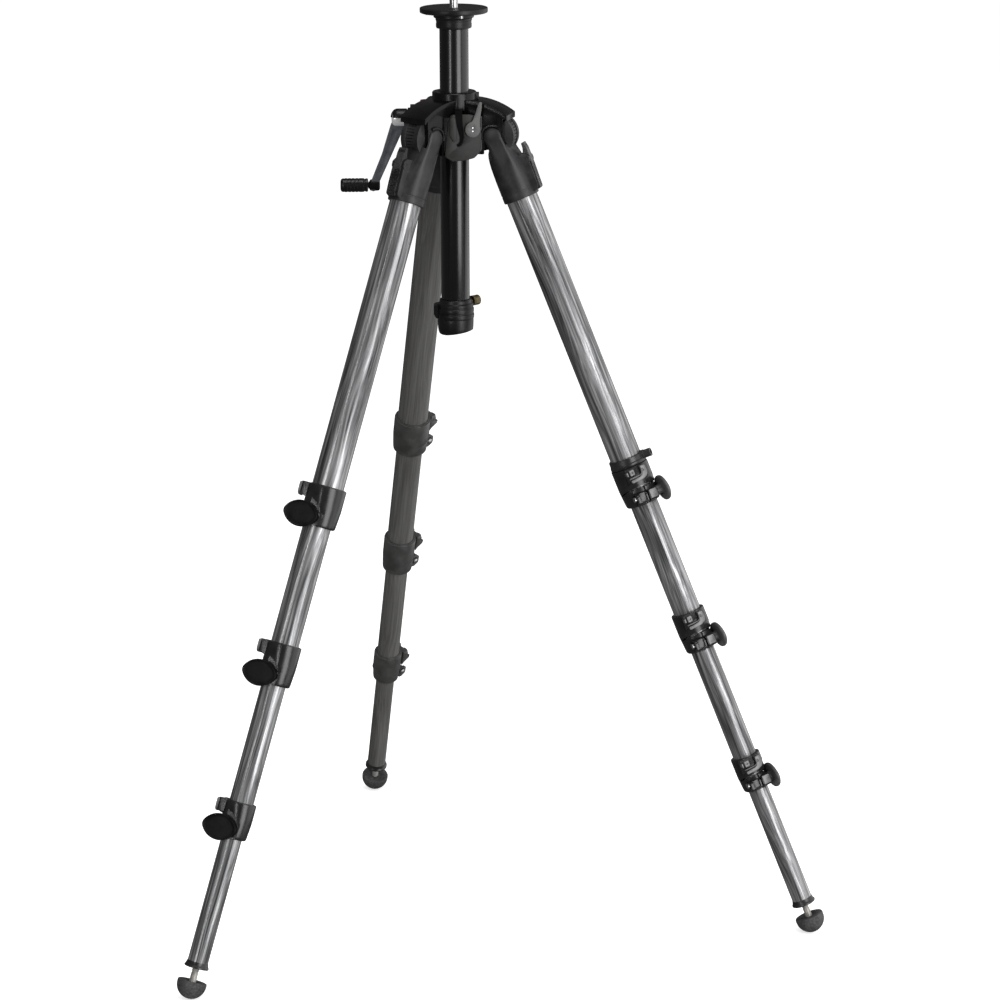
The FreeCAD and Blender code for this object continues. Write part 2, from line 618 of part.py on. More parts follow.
def make_hub_fittings():
    """Bushes, hinge pins, bearing cap, spirit level and lock lever."""
    bore = "column_radius + bush_clearance"
    upper = pipe("upper_bush", "sleeve_bore - fit_clearance", bore, "bush_length",
                 (0, 0, "-collar_top - bush_length"))
    lower = pipe("lower_bush", "sleeve_bore - fit_clearance", bore, "bush_length", (0, 0, "-hub_bottom"))
    node(group("column_bushes", upper, lower), "column_bushes")

    pins = []
    for index in range(3):
        azimuth = dim("first_azimuth") + 120 * index
        shank = cylinder(f"hip_shank_{index}", "hip_pin_radius - 0.01", "2 * cheek_outer",
                         ("hip_radius", "-cheek_outer", "-hip_depth"), "Y")
        cap = cylinder(f"hip_cap_{index}_a", "hip_cap_radius", "hip_cap_end - cheek_outer - 0.02",
                       ("hip_radius", "cheek_outer + 0.02", "-hip_depth"), "Y")
        other = cylinder(f"hip_cap_{index}_b", "hip_cap_radius", "hip_cap_end - cheek_outer - 0.02",
                         ("hip_radius", "-hip_cap_end", "-hip_depth"), "Y")
        core = cylinder(f"hip_core_{index}", 3, "2 * hip_cap_end - 1",
                        ("hip_radius", "-hip_cap_end + 0.5", "-hip_depth"), "Y")
        pins.append(turned_about_column(fuse(f"hip_pin_{index}", shank, cap, other, core), azimuth))
    pins.append(make_lever_screw())
    node(group("hub_pins", *pins), "hub_pins")

    flange = cylinder("bearing_flange", "gear_boss_radius + 1", "bearing_cap_end - gear_block_end - 0.05",
                      ("-bearing_cap_end", "shaft_offset", "-shaft_depth"), "X")
    bearing = cylinder("bearing_bore", "shaft_radius + fit_clearance", 8,
                       ("-bearing_cap_end - 1", "shaft_offset", "-shaft_depth"), "X")
    node(cut("bearing_cap", flange, bearing), "bearing_cap")

    cup = cylinder("level_cup", "level_radius", "level_height", (-35, 19.5, "-gear_block_top + 0.02"))
    recess = cylinder("level_recess", "level_radius - 1.6", 3, (-35, 19.5, "-gear_block_top + level_height - 1.5"))
    node(cut("bubble_level", cup, recess), "bubble_level")


def make_lock_lever():
    """Lever with a round eye that turns on a screw in the front web."""
    eye = cylinder("lever_eye", "lever_eye_radius", 4.0, (0.4, 0, 0), "X")
    arm = extruded("lever_arm", [
        (-1, 4),
        (3.5, 12),
        (6.2, 20),
        (7.2, 31),
        (9.5, 34),
        (13, 33),
        (12.6, 20),
        (10, 8),
        (8, 2),
    ], 3, "YZ_Plane")
    arm.Placement = Placement(Vector(2, 0, 0), Rotation())
    hole = cylinder("lever_eye_bore", "2.5 + fit_clearance", 10, (-2, 0, 0), "X")
    node(cut("lock_lever", fuse("lever_body", eye, arm), hole), "lock_lever", lever_place())


def make_lever_screw():
    """The screw that the lock lever turns on."""
    shank = cylinder("lever_screw_shank", 2.5, 14, (-9, 0, 0), "X")
    cap = cylinder("lever_screw_cap", 4, 1.2, (4.7, 0, 0), "X")
    screw = fuse("lever_screw", shank, cap)
    screw.Placement = lever_place()
    return screw


# ---------------------------------------------------------------------- crank

def make_pinion():
    """Shaft with its pinion, and the domed nut that holds the crank."""
    module = dim("gear_module")
    count = int(dim("pinion_teeth"))
    pitch_radius = 0.5 * module * count
    tip_radius = pitch_radius + module
    root_radius = pitch_radius - 1.25 * module
    quarter = 360 / (4 * count)
    points = []
    for index in range(count):
        # A tooth points at the rack, along -Y.
        middle = 180 + 360 * index / count
        for radius, spread in ((root_radius, 1.55), (pitch_radius, 0.91), (tip_radius, 0.38)):
            points.append(polar(radius, middle - spread * quarter))
        for radius, spread in ((tip_radius, 0.38), (pitch_radius, 0.91), (root_radius, 1.55)):
            points.append(polar(radius, middle + spread * quarter))
    points.append(points[0])
    width = dim("pinion_width")
    gear = Part.Face(Part.makePolygon(points)).extrude(Vector(width, 0, 0))
    gear.translate(Vector(-width / 2, 0, 0))
    end = dim("crank_head_end")
    shaft = Part.makeCylinder(dim("shaft_radius"), end - 2 + 13, Vector(-end + 2, 0, 0), Vector(1, 0, 0))
    pinion = doc.addObject("Part::Feature", "pinion_shaft")
    pinion.Shape = gear.fuse(shaft).removeSplitter()
    where = Vector(0, dim("shaft_offset"), -dim("shaft_depth"))
    pinion.Placement = Placement(where, Rotation())
    node(pinion, "pinion_shaft")


def polar(radius, degrees):
    """A point of the gear's outline in the plane across the shaft."""
    angle = math.radians(degrees)
    return Vector(0, radius * math.cos(angle), radius * math.sin(angle))


def make_crank():
    """Crank arm with its head, and the grip that turns on the arm's pin."""
    where = Placement(Vector(0, dim("shaft_offset"), -dim("shaft_depth")), Rotation())
    head = cylinder("crank_head", "crank_head_radius", "crank_head_end - crank_head_start",
                    ("-crank_head_end", 0, 0), "X")
    arm = extruded("crank_bar", [
        (-57, 2),
        (-68, -2),
        (-99, "-crank_reach - 6"),
        (-92, "-crank_reach - 7"),
        (-88, "-crank_reach + 6"),
        (-57, -8),
    ], dim("crank_bar_width"))
    boss = cylinder("crank_boss", "crank_boss_radius", "crank_boss_length",
                    ("-crank_grip_start + 0.4", 0, "-crank_reach"), "X")
    pin = cylinder("crank_pin", "crank_pin_radius", "crank_grip_end - crank_grip_start - 3",
                   ("-crank_grip_end + 4", 0, "-crank_reach"), "X")
    bore = cylinder("crank_bore", "shaft_radius + 0.02", 40, (-68, 0, 0), "X")
    node(cut("crank_arm", fuse("crank_body", head, arm, boss, pin), bore), "crank_arm", where)

    grip = cylinder("grip_body", "crank_grip_radius", "crank_grip_end - crank_grip_start - 3",
                    ("-crank_grip_end + 3", 0, "-crank_reach"), "X")
    end = cone("grip_end", "crank_grip_radius - 2", "crank_grip_radius", 3,
               ("-crank_grip_end", 0, "-crank_reach"), "X")
    hollow = cylinder("grip_hollow", "crank_pin_radius + fit_clearance", "crank_grip_end - crank_grip_start - 2",
                      ("-crank_grip_end + 3.5", 0, "-crank_reach"), "X")
    node(cut("crank_grip", fuse("grip_solid", grip, end), hollow), "crank_grip", where)


# ----------------------------------------------------------------------- legs

def leg_place(azimuth, along=0.0, turn=0.0):
    """The leg's own frame: -Z runs down the leg, +X points outward.

    The origin is the hinge, moved down the leg by `along` and turned about the leg by `turn`.
    """
    out = Rotation(Vector(0, 0, 1), azimuth)
    hinge = out.multVec(Vector(dim("hip_radius"), 0, 0)) + Vector(0, 0, -dim("hip_depth"))
    lean = Rotation(Vector(0, 1, 0), -dim("leg_spread"))
    frame = Placement(hinge, out.multiply(lean))
    return frame.multiply(Placement(Vector(0, 0, -along), Rotation(Vector(0, 0, 1), turn)))


def make_leg_casting(leg, azimuth):
    """Rounded head with a ratchet drum, flowing into a round socket for the first tube."""
    tag = f"{leg}_casting"
    width = "2 * head_half_width"
    low = "-head_half_width"
    head = cylinder(tag + "_head", "head_radius", width, (0, low, 0), "Y")
    drum = common(
        tag + "_drum",
        cylinder(tag + "_drum_round", "drum_radius", width, (0, low, 0), "Y"),
        box(tag + "_drum_part", (0, low, "-drum_radius"), ("drum_radius", width, "drum_radius + 4")))
    neck = box(tag + "_neck", ("-head_radius", low, "-socket_start + 10"),
               ("2 * head_radius", width, "socket_start - 10"))
    dome = ball(tag + "_dome", "socket_radius", (0, 0, "-socket_start + 6"))
    socket = cylinder(tag + "_socket", "socket_radius", "socket_end - socket_start + 6", (0, 0, "-socket_end"))
    ear_a = box(tag + "_ear_a", (14, 6.4, -44), (14.5, 3, 12))
    ear_b = box(tag + "_ear_b", (14, -9.4, -44), (14.5, 3, 12))
    body = fuse(tag + "_body", head, drum, neck, dome, socket, ear_a, ear_b)
    tools = [
        cylinder(tag + "_bore", "hip_pin_radius + fit_clearance", "2 * head_half_width + 2",
                 (0, "-head_half_width - 1", 0), "Y"),
        cylinder(tag + "_tube_bore", "tube_radius_1 + fit_clearance", "socket_end - socket_start + 1",
                 (0, 0, "-socket_end - 1")),
        cylinder(tag + "_latch_bore", 1.55, 24, (25.6, -12, -38), "Y"),
        box(tag + "_latch_slot", (20.8, -6.4, -80), (8, 12.8, 74)),
    ]
    node(cut(tag, body, *tools), tag, leg_place(azimuth))


def make_latch(leg, azimuth):
    """Angle latch: a bar that rocks on a cross pin, with a nose over the ratchet drum."""
    tag = f"{leg}_angle_latch"
    bar = extruded(tag + "_bar", [
        (24.6, -19),
        (27.4, -19),
        (28.8, -26),
        (28.8, -40),
        (27.4, -74),
        (24.6, -76),
        (24.3, -44),
        (21.6, -33),
        (24.2, -25),
    ], 12)
    pin = cylinder(tag + "_pin", 1.5, 18.4, (25.6, -9.2, -38), "Y")
    node(fuse(tag, bar, pin), tag, leg_place(azimuth))


def make_tube(leg, azimuth, number, start, end):
    """One leg tube. The inner ones carry a glide ring at their upper end."""
    tag = f"{leg}_tube_{number}"
    radius = f"tube_radius_{number}"
    tube = pipe(tag + "_pipe", radius, f"{radius} - tube_wall", f"{end} - ({start})", (0, 0, f"-({end})"))
    if number == 1:
        node(tube, tag, leg_place(azimuth))
        return
    outside = f"tube_radius_{number - 1} - tube_wall - bush_clearance"
    glide = pipe(tag + "_glide", outside, f"{radius} + 0.02", "glide_length", (0, 0, f"-({start}) - glide_drop"))
    node(group(tag, tube, glide), tag, leg_place(azimuth))


def make_clamp(leg, azimuth, number):
    """Clamp collar: bonded round one tube above, split round the next tube below."""
    tag = f"{leg}_clamp_{number}"
    upper_tube = f"tube_radius_{number}"
    lower_tube = f"tube_radius_{number + 1}"
    length = f"clamp_length_{number}"
    ring = f"({upper_tube} + clamp_wall)"
    split = f"({length} * clamp_split)"
    screw_x = f"({lower_tube} + clamp_screw_offset)"
    screw_z = f"(-{length} + clamp_screw_rise)"
    low_ring = f"({lower_tube} + clamp_wall + 0.6)"
    lug = common(tag + "_lug",
                 box(tag + "_lug_block", ("lug_start", "-lug_side", "-lug_depth"), (30, "lug_width", "lug_height")),
                 cylinder(tag + "_lug_round", f"{ring} + lug_reach", 20, (0, 0, -18)))
    ears = common(tag + "_ears",
                  box(tag + "_ear_block", ("ear_start", "-ear_side", f"{screw_z} - ear_height / 2"),
                      (30, "ear_width", "ear_height")),
                  cylinder(tag + "_ear_round", f"{screw_x} + ear_reach", 20, (0, 0, f"{screw_z} - 10")))
    body = fuse(tag + "_body",
                cylinder(tag + "_upper", ring, f"{split}", (0, 0, f"-{split}")),
                cylinder(tag + "_lower", low_ring, f"{length} - {split} + 0.5", (0, 0, f"-{length}")),
                lug, ears)
    tools = [
        cylinder(tag + "_upper_bore", f"{upper_tube} + 0.02", f"{split}", (0, 0, f"-{split} + 1")),
        cylinder(tag + "_lower_bore", f"{lower_tube} + bush_clearance", f"{length} + 2", (0, 0, f"-{length} - 1")),
        box(tag + "_cross_slot", (-2, -40, f"-{split} - clamp_slot"), (60, 80, "clamp_slot")),
        box(tag + "_slit", (4, "-clamp_slot / 2", f"-{length} - 1"), (60, "clamp_slot", f"{length} - {split} + 1")),
        cylinder(tag + "_screw_bore", "clamp_screw_radius + fit_clearance", 60, (screw_x, -30, screw_z), "Y"),
        box(tag + "_pocket", (f"{ring} + 1", "-pocket_side", "-pocket_depth"), (20, "pocket_width", "pocket_height")),
        cylinder(tag + "_spot_face", "knob_seat_radius", 40, (screw_x, "knob_seat", screw_z), "Y"),
        cylinder(tag + "_knob_flat", "knob_length / 2 + 1", 20, (screw_x, f"{upper_tube} + knob_flat", screw_z), "Y"),
    ]
    clamp = cut(tag, body, *tools)
    node(clamp, tag, leg_place(azimuth, dim(f"clamp_start_{number}"), dim("lug_azimuth")))


def make_knob(leg, azimuth, number):
    """Oval wing knob with its clamp screw."""
    tag = f"{leg}_knob_{number}"
    lower_tube = f"tube_radius_{number + 1}"
    length = f"clamp_length_{number}"
    screw_x = f"({lower_tube} + clamp_screw_offset)"
    screw_z = f"(-{length} + clamp_screw_rise)"
    wing_start = f"(tube_radius_{number} + knob_flat + knob_gap)"
    # Two discs that overlap give an oval with a slight tip at each end.
    arc = "((knob_length ^ 2 + knob_width ^ 2) / (4 * knob_width))"
    shift = f"({arc} - knob_width / 2)"
    wing = common(tag + "_wing",
                  cylinder(tag + "_disc_a", arc, "knob_thickness",
                           (screw_x, wing_start, f"{screw_z} + {shift}"), "Y"),
                  cylinder(tag + "_disc_b", arc, "knob_thickness",
                           (screw_x, wing_start, f"{screw_z} - {shift}"), "Y"))
    neck = cylinder(tag + "_neck", "knob_neck_radius", f"{wing_start} - knob_neck_start + 1",
                    (screw_x, "knob_neck_start", screw_z), "Y")
    screw_hole = cylinder(tag + "_hole", "clamp_screw_radius + 0.02", "clamp_screw_end - knob_neck_start + 1.8",
                          (screw_x, "knob_neck_start - 0.8", screw_z), "Y")
    knob = cut(tag + "_handle", fuse(tag + "_grip", wing, neck), screw_hole)
    shank = cylinder(tag + "_shank", "clamp_screw_radius", "clamp_screw_end + clamp_head_face - 1.5",
                     (screw_x, "-clamp_head_face + 1.5", screw_z), "Y")
    head = cylinder(tag + "_head", "clamp_head_radius", "clamp_head_height",
                    (screw_x, "-clamp_head_face", screw_z), "Y")
    screw = fuse(tag + "_screw", shank, head)
    where = leg_place(azimuth, dim(f"clamp_start_{number}"), dim("lug_azimuth"))
    node(group(tag, knob, screw), tag, where)


def make_foot(leg, azimuth):
    """End flange with a steel pin, and the rubber dome that turns on the pin."""
    tag = f"{leg}_foot"
    inside = "tube_radius_4 - tube_wall - 0.02"
    plug = cylinder(tag + "_plug", inside, "foot_plug", (0, 0, "-flange_start"))
    flange = cylinder(tag + "_flange", "flange_radius", "flange_thickness - 0.02",
                      (0, 0, "-flange_start - flange_thickness"))
    pin = cylinder(tag + "_pin", "foot_pin_radius", "foot_centre - flange_start + foot_pin_end",
                   (0, 0, "-foot_centre - foot_pin_end"))
    node(fuse(tag + "_stem", plug, flange, pin), tag + "_stem", leg_place(azimuth))

    rim = cylinder(tag + "_rim", "foot_radius", "foot_rim", (0, 0, "-foot_centre"))
    dome = common(tag + "_dome", ball(tag + "_ball", "foot_radius", (0, 0, "-foot_centre")),
                  box(tag + "_half", ("-foot_radius", "-foot_radius", "-foot_centre - foot_radius"),
                      ("2 * foot_radius", "2 * foot_radius", "foot_radius")))
    hole = cylinder(tag + "_hole", "foot_pin_radius + fit_clearance", "foot_rim + foot_pin_end + 2",
                    (0, 0, "-foot_centre - foot_pin_end - 0.5"))
    node(cut(tag + "_rubber", fuse(tag + "_solid", rim, dome), hole), tag + "_rubber", leg_place(azimuth))


def make_tool_clip(azimuth):
    """Clip for the hexagon key, sprung round the right leg's first tube."""
    ring = cylinder("clip_ring", "tube_radius_1 + clip_wall", "clip_width", (0, 0, "-clip_depth - clip_width / 2"))
    stub = cylinder("clip_stub", "clip_stub_radius", "clip_stub_length", ("tube_radius_1", 0, "-clip_depth"), "X")
    bore = cylinder("clip_bore", "tube_radius_1 + 0.02", "2 * clip_width", (0, 0, "-clip_depth - clip_width"))
    hollow = cylinder("clip_hollow", "clip_socket_radius", "clip_stub_length",
                      ("clip_socket_floor", 0, "-clip_depth"), "X")
    node(cut("tool_clip", fuse("clip_body", ring, stub), bore, hollow), "tool_clip", leg_place(azimuth))


def make_leg(leg, azimuth):
    make_leg_casting(leg, azimuth)
    make_latch(leg, azimuth)
    joint_1 = "clamp_start_1 + clamp_length_1 * clamp_split - 1"
    joint_2 = "clamp_start_2 + clamp_length_2 * clamp_split - 1"
    joint_3 = "clamp_start_3 + clamp_length_3 * clamp_split - 1"
    make_tube(leg, azimuth, 1, "socket_start + 0.1", joint_1)
    make_tube(leg, azimuth, 2, f"{joint_2} - tube_length", joint_2)
    make_tube(leg, azimuth, 3, f"{joint_3} - tube_length", joint_3)
    make_tube(leg, azimuth, 4, "flange_start - tube_length", "flange_start")
    for number in (1, 2, 3):
        make_clamp(leg, azimuth, number)
        make_knob(leg, azimuth, number)
    make_foot(leg, azimuth)


# ------------------------------------------------------------------- assembly

make_head_plate()
make_head_fasteners()
make_column()
make_rack()
make_column_end()
make_hub()
make_hub_fittings()
make_lock_lever()
make_pinion()
make_crank()
for step, leg_name in enumerate(("left", "right", "back")):
    make_leg(leg_name, dim("first_azimuth") + 120 * step)
make_tool_clip(dim("first_azimuth") + 120)
doc.recompute()

failed = [obj.Label for obj in doc.Objects if {"Invalid", "Error"} & set(obj.State)]
if failed:
    raise RuntimeError(f"objects that failed: {failed}")
for obj in nodes:
    if obj.Shape.isNull() or not obj.Shape.isValid():
        raise RuntimeError(f"{obj.Label} has no valid shape")

os.makedirs("parts", exist_ok=True)
for obj in nodes:
    obj.Shape.exportStep(f"parts/{obj.Label}.step")
print(f"{len(nodes)} sub-parts written")
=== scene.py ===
import bpy
import bmesh
import math
from mathutils import Matrix, Vector


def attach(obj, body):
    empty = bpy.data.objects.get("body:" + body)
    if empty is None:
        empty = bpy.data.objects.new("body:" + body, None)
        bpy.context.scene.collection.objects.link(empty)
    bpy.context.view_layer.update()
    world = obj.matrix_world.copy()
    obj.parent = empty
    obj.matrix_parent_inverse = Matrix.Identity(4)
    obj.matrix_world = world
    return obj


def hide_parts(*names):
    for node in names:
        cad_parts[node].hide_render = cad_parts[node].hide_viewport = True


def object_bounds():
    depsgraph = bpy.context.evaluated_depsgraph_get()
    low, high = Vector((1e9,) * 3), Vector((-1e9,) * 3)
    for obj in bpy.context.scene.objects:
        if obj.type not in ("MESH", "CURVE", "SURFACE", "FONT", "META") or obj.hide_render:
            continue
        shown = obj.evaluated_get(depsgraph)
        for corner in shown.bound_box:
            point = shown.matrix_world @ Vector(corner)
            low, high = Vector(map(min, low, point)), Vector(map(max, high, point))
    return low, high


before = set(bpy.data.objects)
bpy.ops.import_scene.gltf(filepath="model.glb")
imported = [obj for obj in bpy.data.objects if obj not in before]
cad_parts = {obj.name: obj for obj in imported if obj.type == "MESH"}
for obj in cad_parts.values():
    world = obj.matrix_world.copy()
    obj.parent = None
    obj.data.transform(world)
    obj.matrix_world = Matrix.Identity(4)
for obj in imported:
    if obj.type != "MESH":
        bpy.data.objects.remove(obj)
cad_low, cad_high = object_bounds()
scene = bpy.context.scene

# Lengths are in mm and angles in degrees, unless a comment says otherwise.
MM = 0.001
SPREAD = 22.41
LEGS = {"left": 225.0, "right": 345.0, "back": 105.0}
WEB_AZIMUTH = 285.0
HOLE_AZIMUTHS = (285, 45, 165)
HOLE_CIRCLE = 31.0
HIP_RADIUS = 50.0
HIP_DEPTH = 144.4
TUBE_RADII = (18.5, 16.2, 14.0, 11.85)
TUBE_WALL = 1.5
CLAMP_STARTS = (414.0, 599.5, 785.7)
CLAMP_LENGTHS = (47.0, 48.0, 42.2)
CLAMP_SPLIT = 0.57
FLANGE_START = 975.8
FOOT_CENTRE = 999.3
FIRST_TUBE_START = 50.1
SECTION_LENGTH = 410.0
DOME_RADIUS = 16.99
KNOB_FLAT = 0.8
KNOB_GAP = 0.4
KNOB_LENGTH = 42.0
KNOB_WIDTH = 31.0
LUG_TURN = -55.0
SHAFT_Y = 22.6
SHAFT_Z = -130.0
GRIP_Z = -208.0
LEVER_Y = 10.5
LEVER_Z = -135.0
CLIP_Z = -407


# ------------------------------------------------------------------ materials

class Finish:
    """A procedural material under construction."""

    def __init__(self, rough, metallic=0.0, coat=0.0, coat_rough=0.2, specular=0.5):
        self.material = bpy.data.materials.new("finish")
        self.material.use_nodes = True
        self.tree = self.material.node_tree
        self.shader = self.tree.nodes["Principled BSDF"]
        self.shader.inputs["Metallic"].default_value = metallic
        self.shader.inputs["Roughness"].default_value = rough
        self.shader.inputs["Coat Weight"].default_value = coat
        self.shader.inputs["Coat Roughness"].default_value = coat_rough
        self.shader.inputs["Specular IOR Level"].default_value = specular
        self.place = self.add("ShaderNodeTexCoord").outputs["Object"]

    def add(self, kind, **settings):
        made = self.tree.nodes.new(kind)
        for key, value in settings.items():
            setattr(made, key, value)
        return made

    def link(self, source, target):
        self.tree.links.new(source, target)

    def stretched(self, scale):
        mapping = self.add("ShaderNodeMapping")
        mapping.inputs["Scale"].default_value = scale
        self.link(self.place, mapping.inputs["Vector"])
        return mapping.outputs["Vector"]

    def noise(self, scale, detail=3.0, rough=0.55, where=None):
        made = self.add("ShaderNodeTexNoise")
        made.inputs["Scale"].default_value = scale
        made.inputs["Detail"].default_value = detail
        made.inputs["Roughness"].default_value = rough
        self.link(where if where else self.place, made.inputs["Vector"])
        return made.outputs["Fac"]

    def ramp(self, value, *stops):
        made = self.add("ShaderNodeValToRGB")
        ramp = made.color_ramp
        while len(ramp.elements) < len(stops):
            ramp.elements.new(0.5)
        for element, (place, shade) in zip(ramp.elements, stops):
            element.position = place
            if isinstance(shade, (int, float)):
                shade = (shade, shade, shade)
            element.color = (*shade, 1.0)
        self.link(value, made.inputs["Fac"])
        return made.outputs["Color"]

    def mix(self, share, first, second, kind="MIX"):
        made = self.add("ShaderNodeMix", data_type="RGBA", blend_type=kind)
        for socket, value in ((made.inputs[0], share), (made.inputs[6], first), (made.inputs[7], second)):
            if isinstance(value, bpy.types.NodeSocket):
                self.link(value, socket)
            elif isinstance(value, (int, float)):
                socket.default_value = value
            else:
                socket.default_value = (*value, 1.0)
        return made.outputs[2]

    def math(self, kind, first, second):
        made = self.add("ShaderNodeMath", operation=kind)
        for socket, value in zip(made.inputs, (first, second)):
            if isinstance(value, bpy.types.NodeSocket):
                self.link(value, socket)
            else:
                socket.default_value = value
        return made.outputs[0]

    def span(self, value, low, high):
        made = self.add("ShaderNodeMapRange")
        made.inputs["To Min"].default_value = low
        made.inputs["To Max"].default_value = high
        self.link(value, made.inputs["Value"])
        return made.outputs["Result"]

    def edges(self, radius=0.0006):
        """1 along worn edges, 0 on flat faces."""
        rounded = self.add("ShaderNodeBevel", samples=4)
        rounded.inputs["Radius"].default_value = radius
        flat = self.add("ShaderNodeNewGeometry")
        dot = self.add("ShaderNodeVectorMath", operation="DOT_PRODUCT")
        self.link(rounded.outputs["Normal"], dot.inputs[0])
        self.link(flat.outputs["Normal"], dot.inputs[1])
        return self.ramp(dot.outputs["Value"], (0.80, 1.0), (0.97, 0.0))

    def bump(self, height, strength, depth):
        made = self.add("ShaderNodeBump")
        made.inputs["Strength"].default_value = strength
        made.inputs["Distance"].default_value = depth
        self.link(height, made.inputs["Height"])
        self.link(made.outputs["Normal"], self.shader.inputs["Normal"])

    def colour(self, value):
        self.link(value, self.shader.inputs["Base Color"])

    def roughness(self, value):
        self.link(value, self.shader.inputs["Roughness"])


def grey(level):
    return (level, level, level)


def painted(dark, light, rough, spread=0.08, grain=1800, depth=0.00012, wear=grey(0.2),
            wear_share=0.35, coat=0.0, specular=0.5, speckle=0.75):
    """Moulded or painted surface: fine grain, slow mottle and rubbed edges."""
    finish = Finish(rough, coat=coat, specular=specular)
    slow = finish.noise(60, detail=4.0)
    fine = finish.noise(grain, detail=2.0, rough=0.6)
    base = finish.mix(finish.ramp(slow, (0.35, 0.0), (0.68, 1.0)), dark, light)
    grained = finish.mix(0.6, base, finish.ramp(fine, (0.3, speckle), (0.7, 1.0)), kind="MULTIPLY")
    worn = finish.math("MULTIPLY", finish.edges(), finish.span(slow, 0.15, wear_share * 2))
    finish.colour(finish.mix(worn, grained, wear))
    finish.roughness(finish.span(slow, rough - spread, rough + spread))
    finish.bump(fine, 0.35, depth)
    return finish.material


def brushed(dark, light, rough, coat=0.0, stretch=(900, 900, 12), metallic=1.0, spread=0.1,
            depth=0.00004):
    """Metal with fine lines along Z."""
    finish = Finish(rough, metallic=metallic, coat=coat)
    lines = finish.noise(1.0, detail=4.0, where=finish.stretched(stretch))
    slow = finish.noise(90, detail=3.0)
    finish.colour(finish.mix(finish.ramp(lines, (0.3, 0.0), (0.7, 1.0)), dark, light))
    fine_part = finish.span(lines, rough - spread, rough)
    finish.roughness(finish.math("ADD", fine_part, finish.span(slow, 0.0, spread)))
    finish.bump(lines, 0.3, depth)
    return finish.material


def carbon(shades, metallic=0.75, rough=0.3, relief=0.00016, coat=0.35):
    """Pulled carbon fibre: long streaks that wander round the tube, under a clear coat."""
    finish = Finish(rough, metallic=metallic, coat=coat, coat_rough=0.1)
    drift = finish.noise(1.0, detail=1.0, where=finish.stretched((26, 26, 5)))
    offset = finish.add("ShaderNodeCombineXYZ")
    finish.link(finish.span(drift, -0.009, 0.009), offset.inputs[0])
    finish.link(finish.span(drift, 0.009, -0.009), offset.inputs[1])
    shift = finish.add("ShaderNodeVectorMath", operation="ADD")
    finish.link(finish.place, shift.inputs[0])
    finish.link(offset.outputs[0], shift.inputs[1])

    def along(scale, detail, rough_share=0.55):
        mapping = finish.add("ShaderNodeMapping")
        mapping.inputs["Scale"].default_value = scale
        finish.link(shift.outputs[0], mapping.inputs["Vector"])
        return finish.noise(1.0, detail=detail, rough=rough_share, where=mapping.outputs[0])

    bands = along((130, 130, 5.5), 2.0)
    streaks = along((480, 480, 8.5), 3.0, 0.6)
    fine = along((1900, 1900, 16), 2.0)
    dark, middle, light = shades
    blend = finish.math("ADD", finish.math("MULTIPLY", bands, 0.42), finish.math("MULTIPLY", streaks, 0.58))
    base = finish.ramp(blend, (0.38, dark), (0.5, middle), (0.64, light))
    finish.colour(finish.mix(0.3, base, finish.ramp(fine, (0.3, 0.3), (0.7, 1.0)), kind="MULTIPLY"))
    finish.roughness(finish.span(streaks, rough + 0.16, rough - 0.06))
    finish.bump(finish.math("ADD", finish.math("MULTIPLY", fine, 0.3), streaks), 0.8, relief)
    return finish.material


def knurled(dark, light, rough, pitch=0.0011):
    """A moulded grip face: rows of small raised dots, coloured lighter than the face between them: a painted
    highlight on their tops.
    """
    finish = Finish(rough, specular=0.6)
    cells = finish.add("ShaderNodeTexVoronoi")
    cells.inputs["Scale"].default_value = 1.0 / pitch
    cells.inputs["Randomness"].default_value = 0.25
    finish.link(finish.place, cells.inputs["Vector"])
    dots = finish.ramp(cells.outputs["Distance"], (0.22, 1.0), (0.48, 0.0))
    slow = finish.noise(140, detail=3.0)
    shade = finish.mix(dots, dark, light)
    finish.colour(finish.mix(0.5, shade, finish.ramp(slow, (0.3, 0.45), (0.7, 1.0)), kind="MULTIPLY"))
    finish.roughness(finish.span(slow, rough - 0.08, rough + 0.1))
    finish.bump(dots, 0.7, 0.0004)
    return finish.material


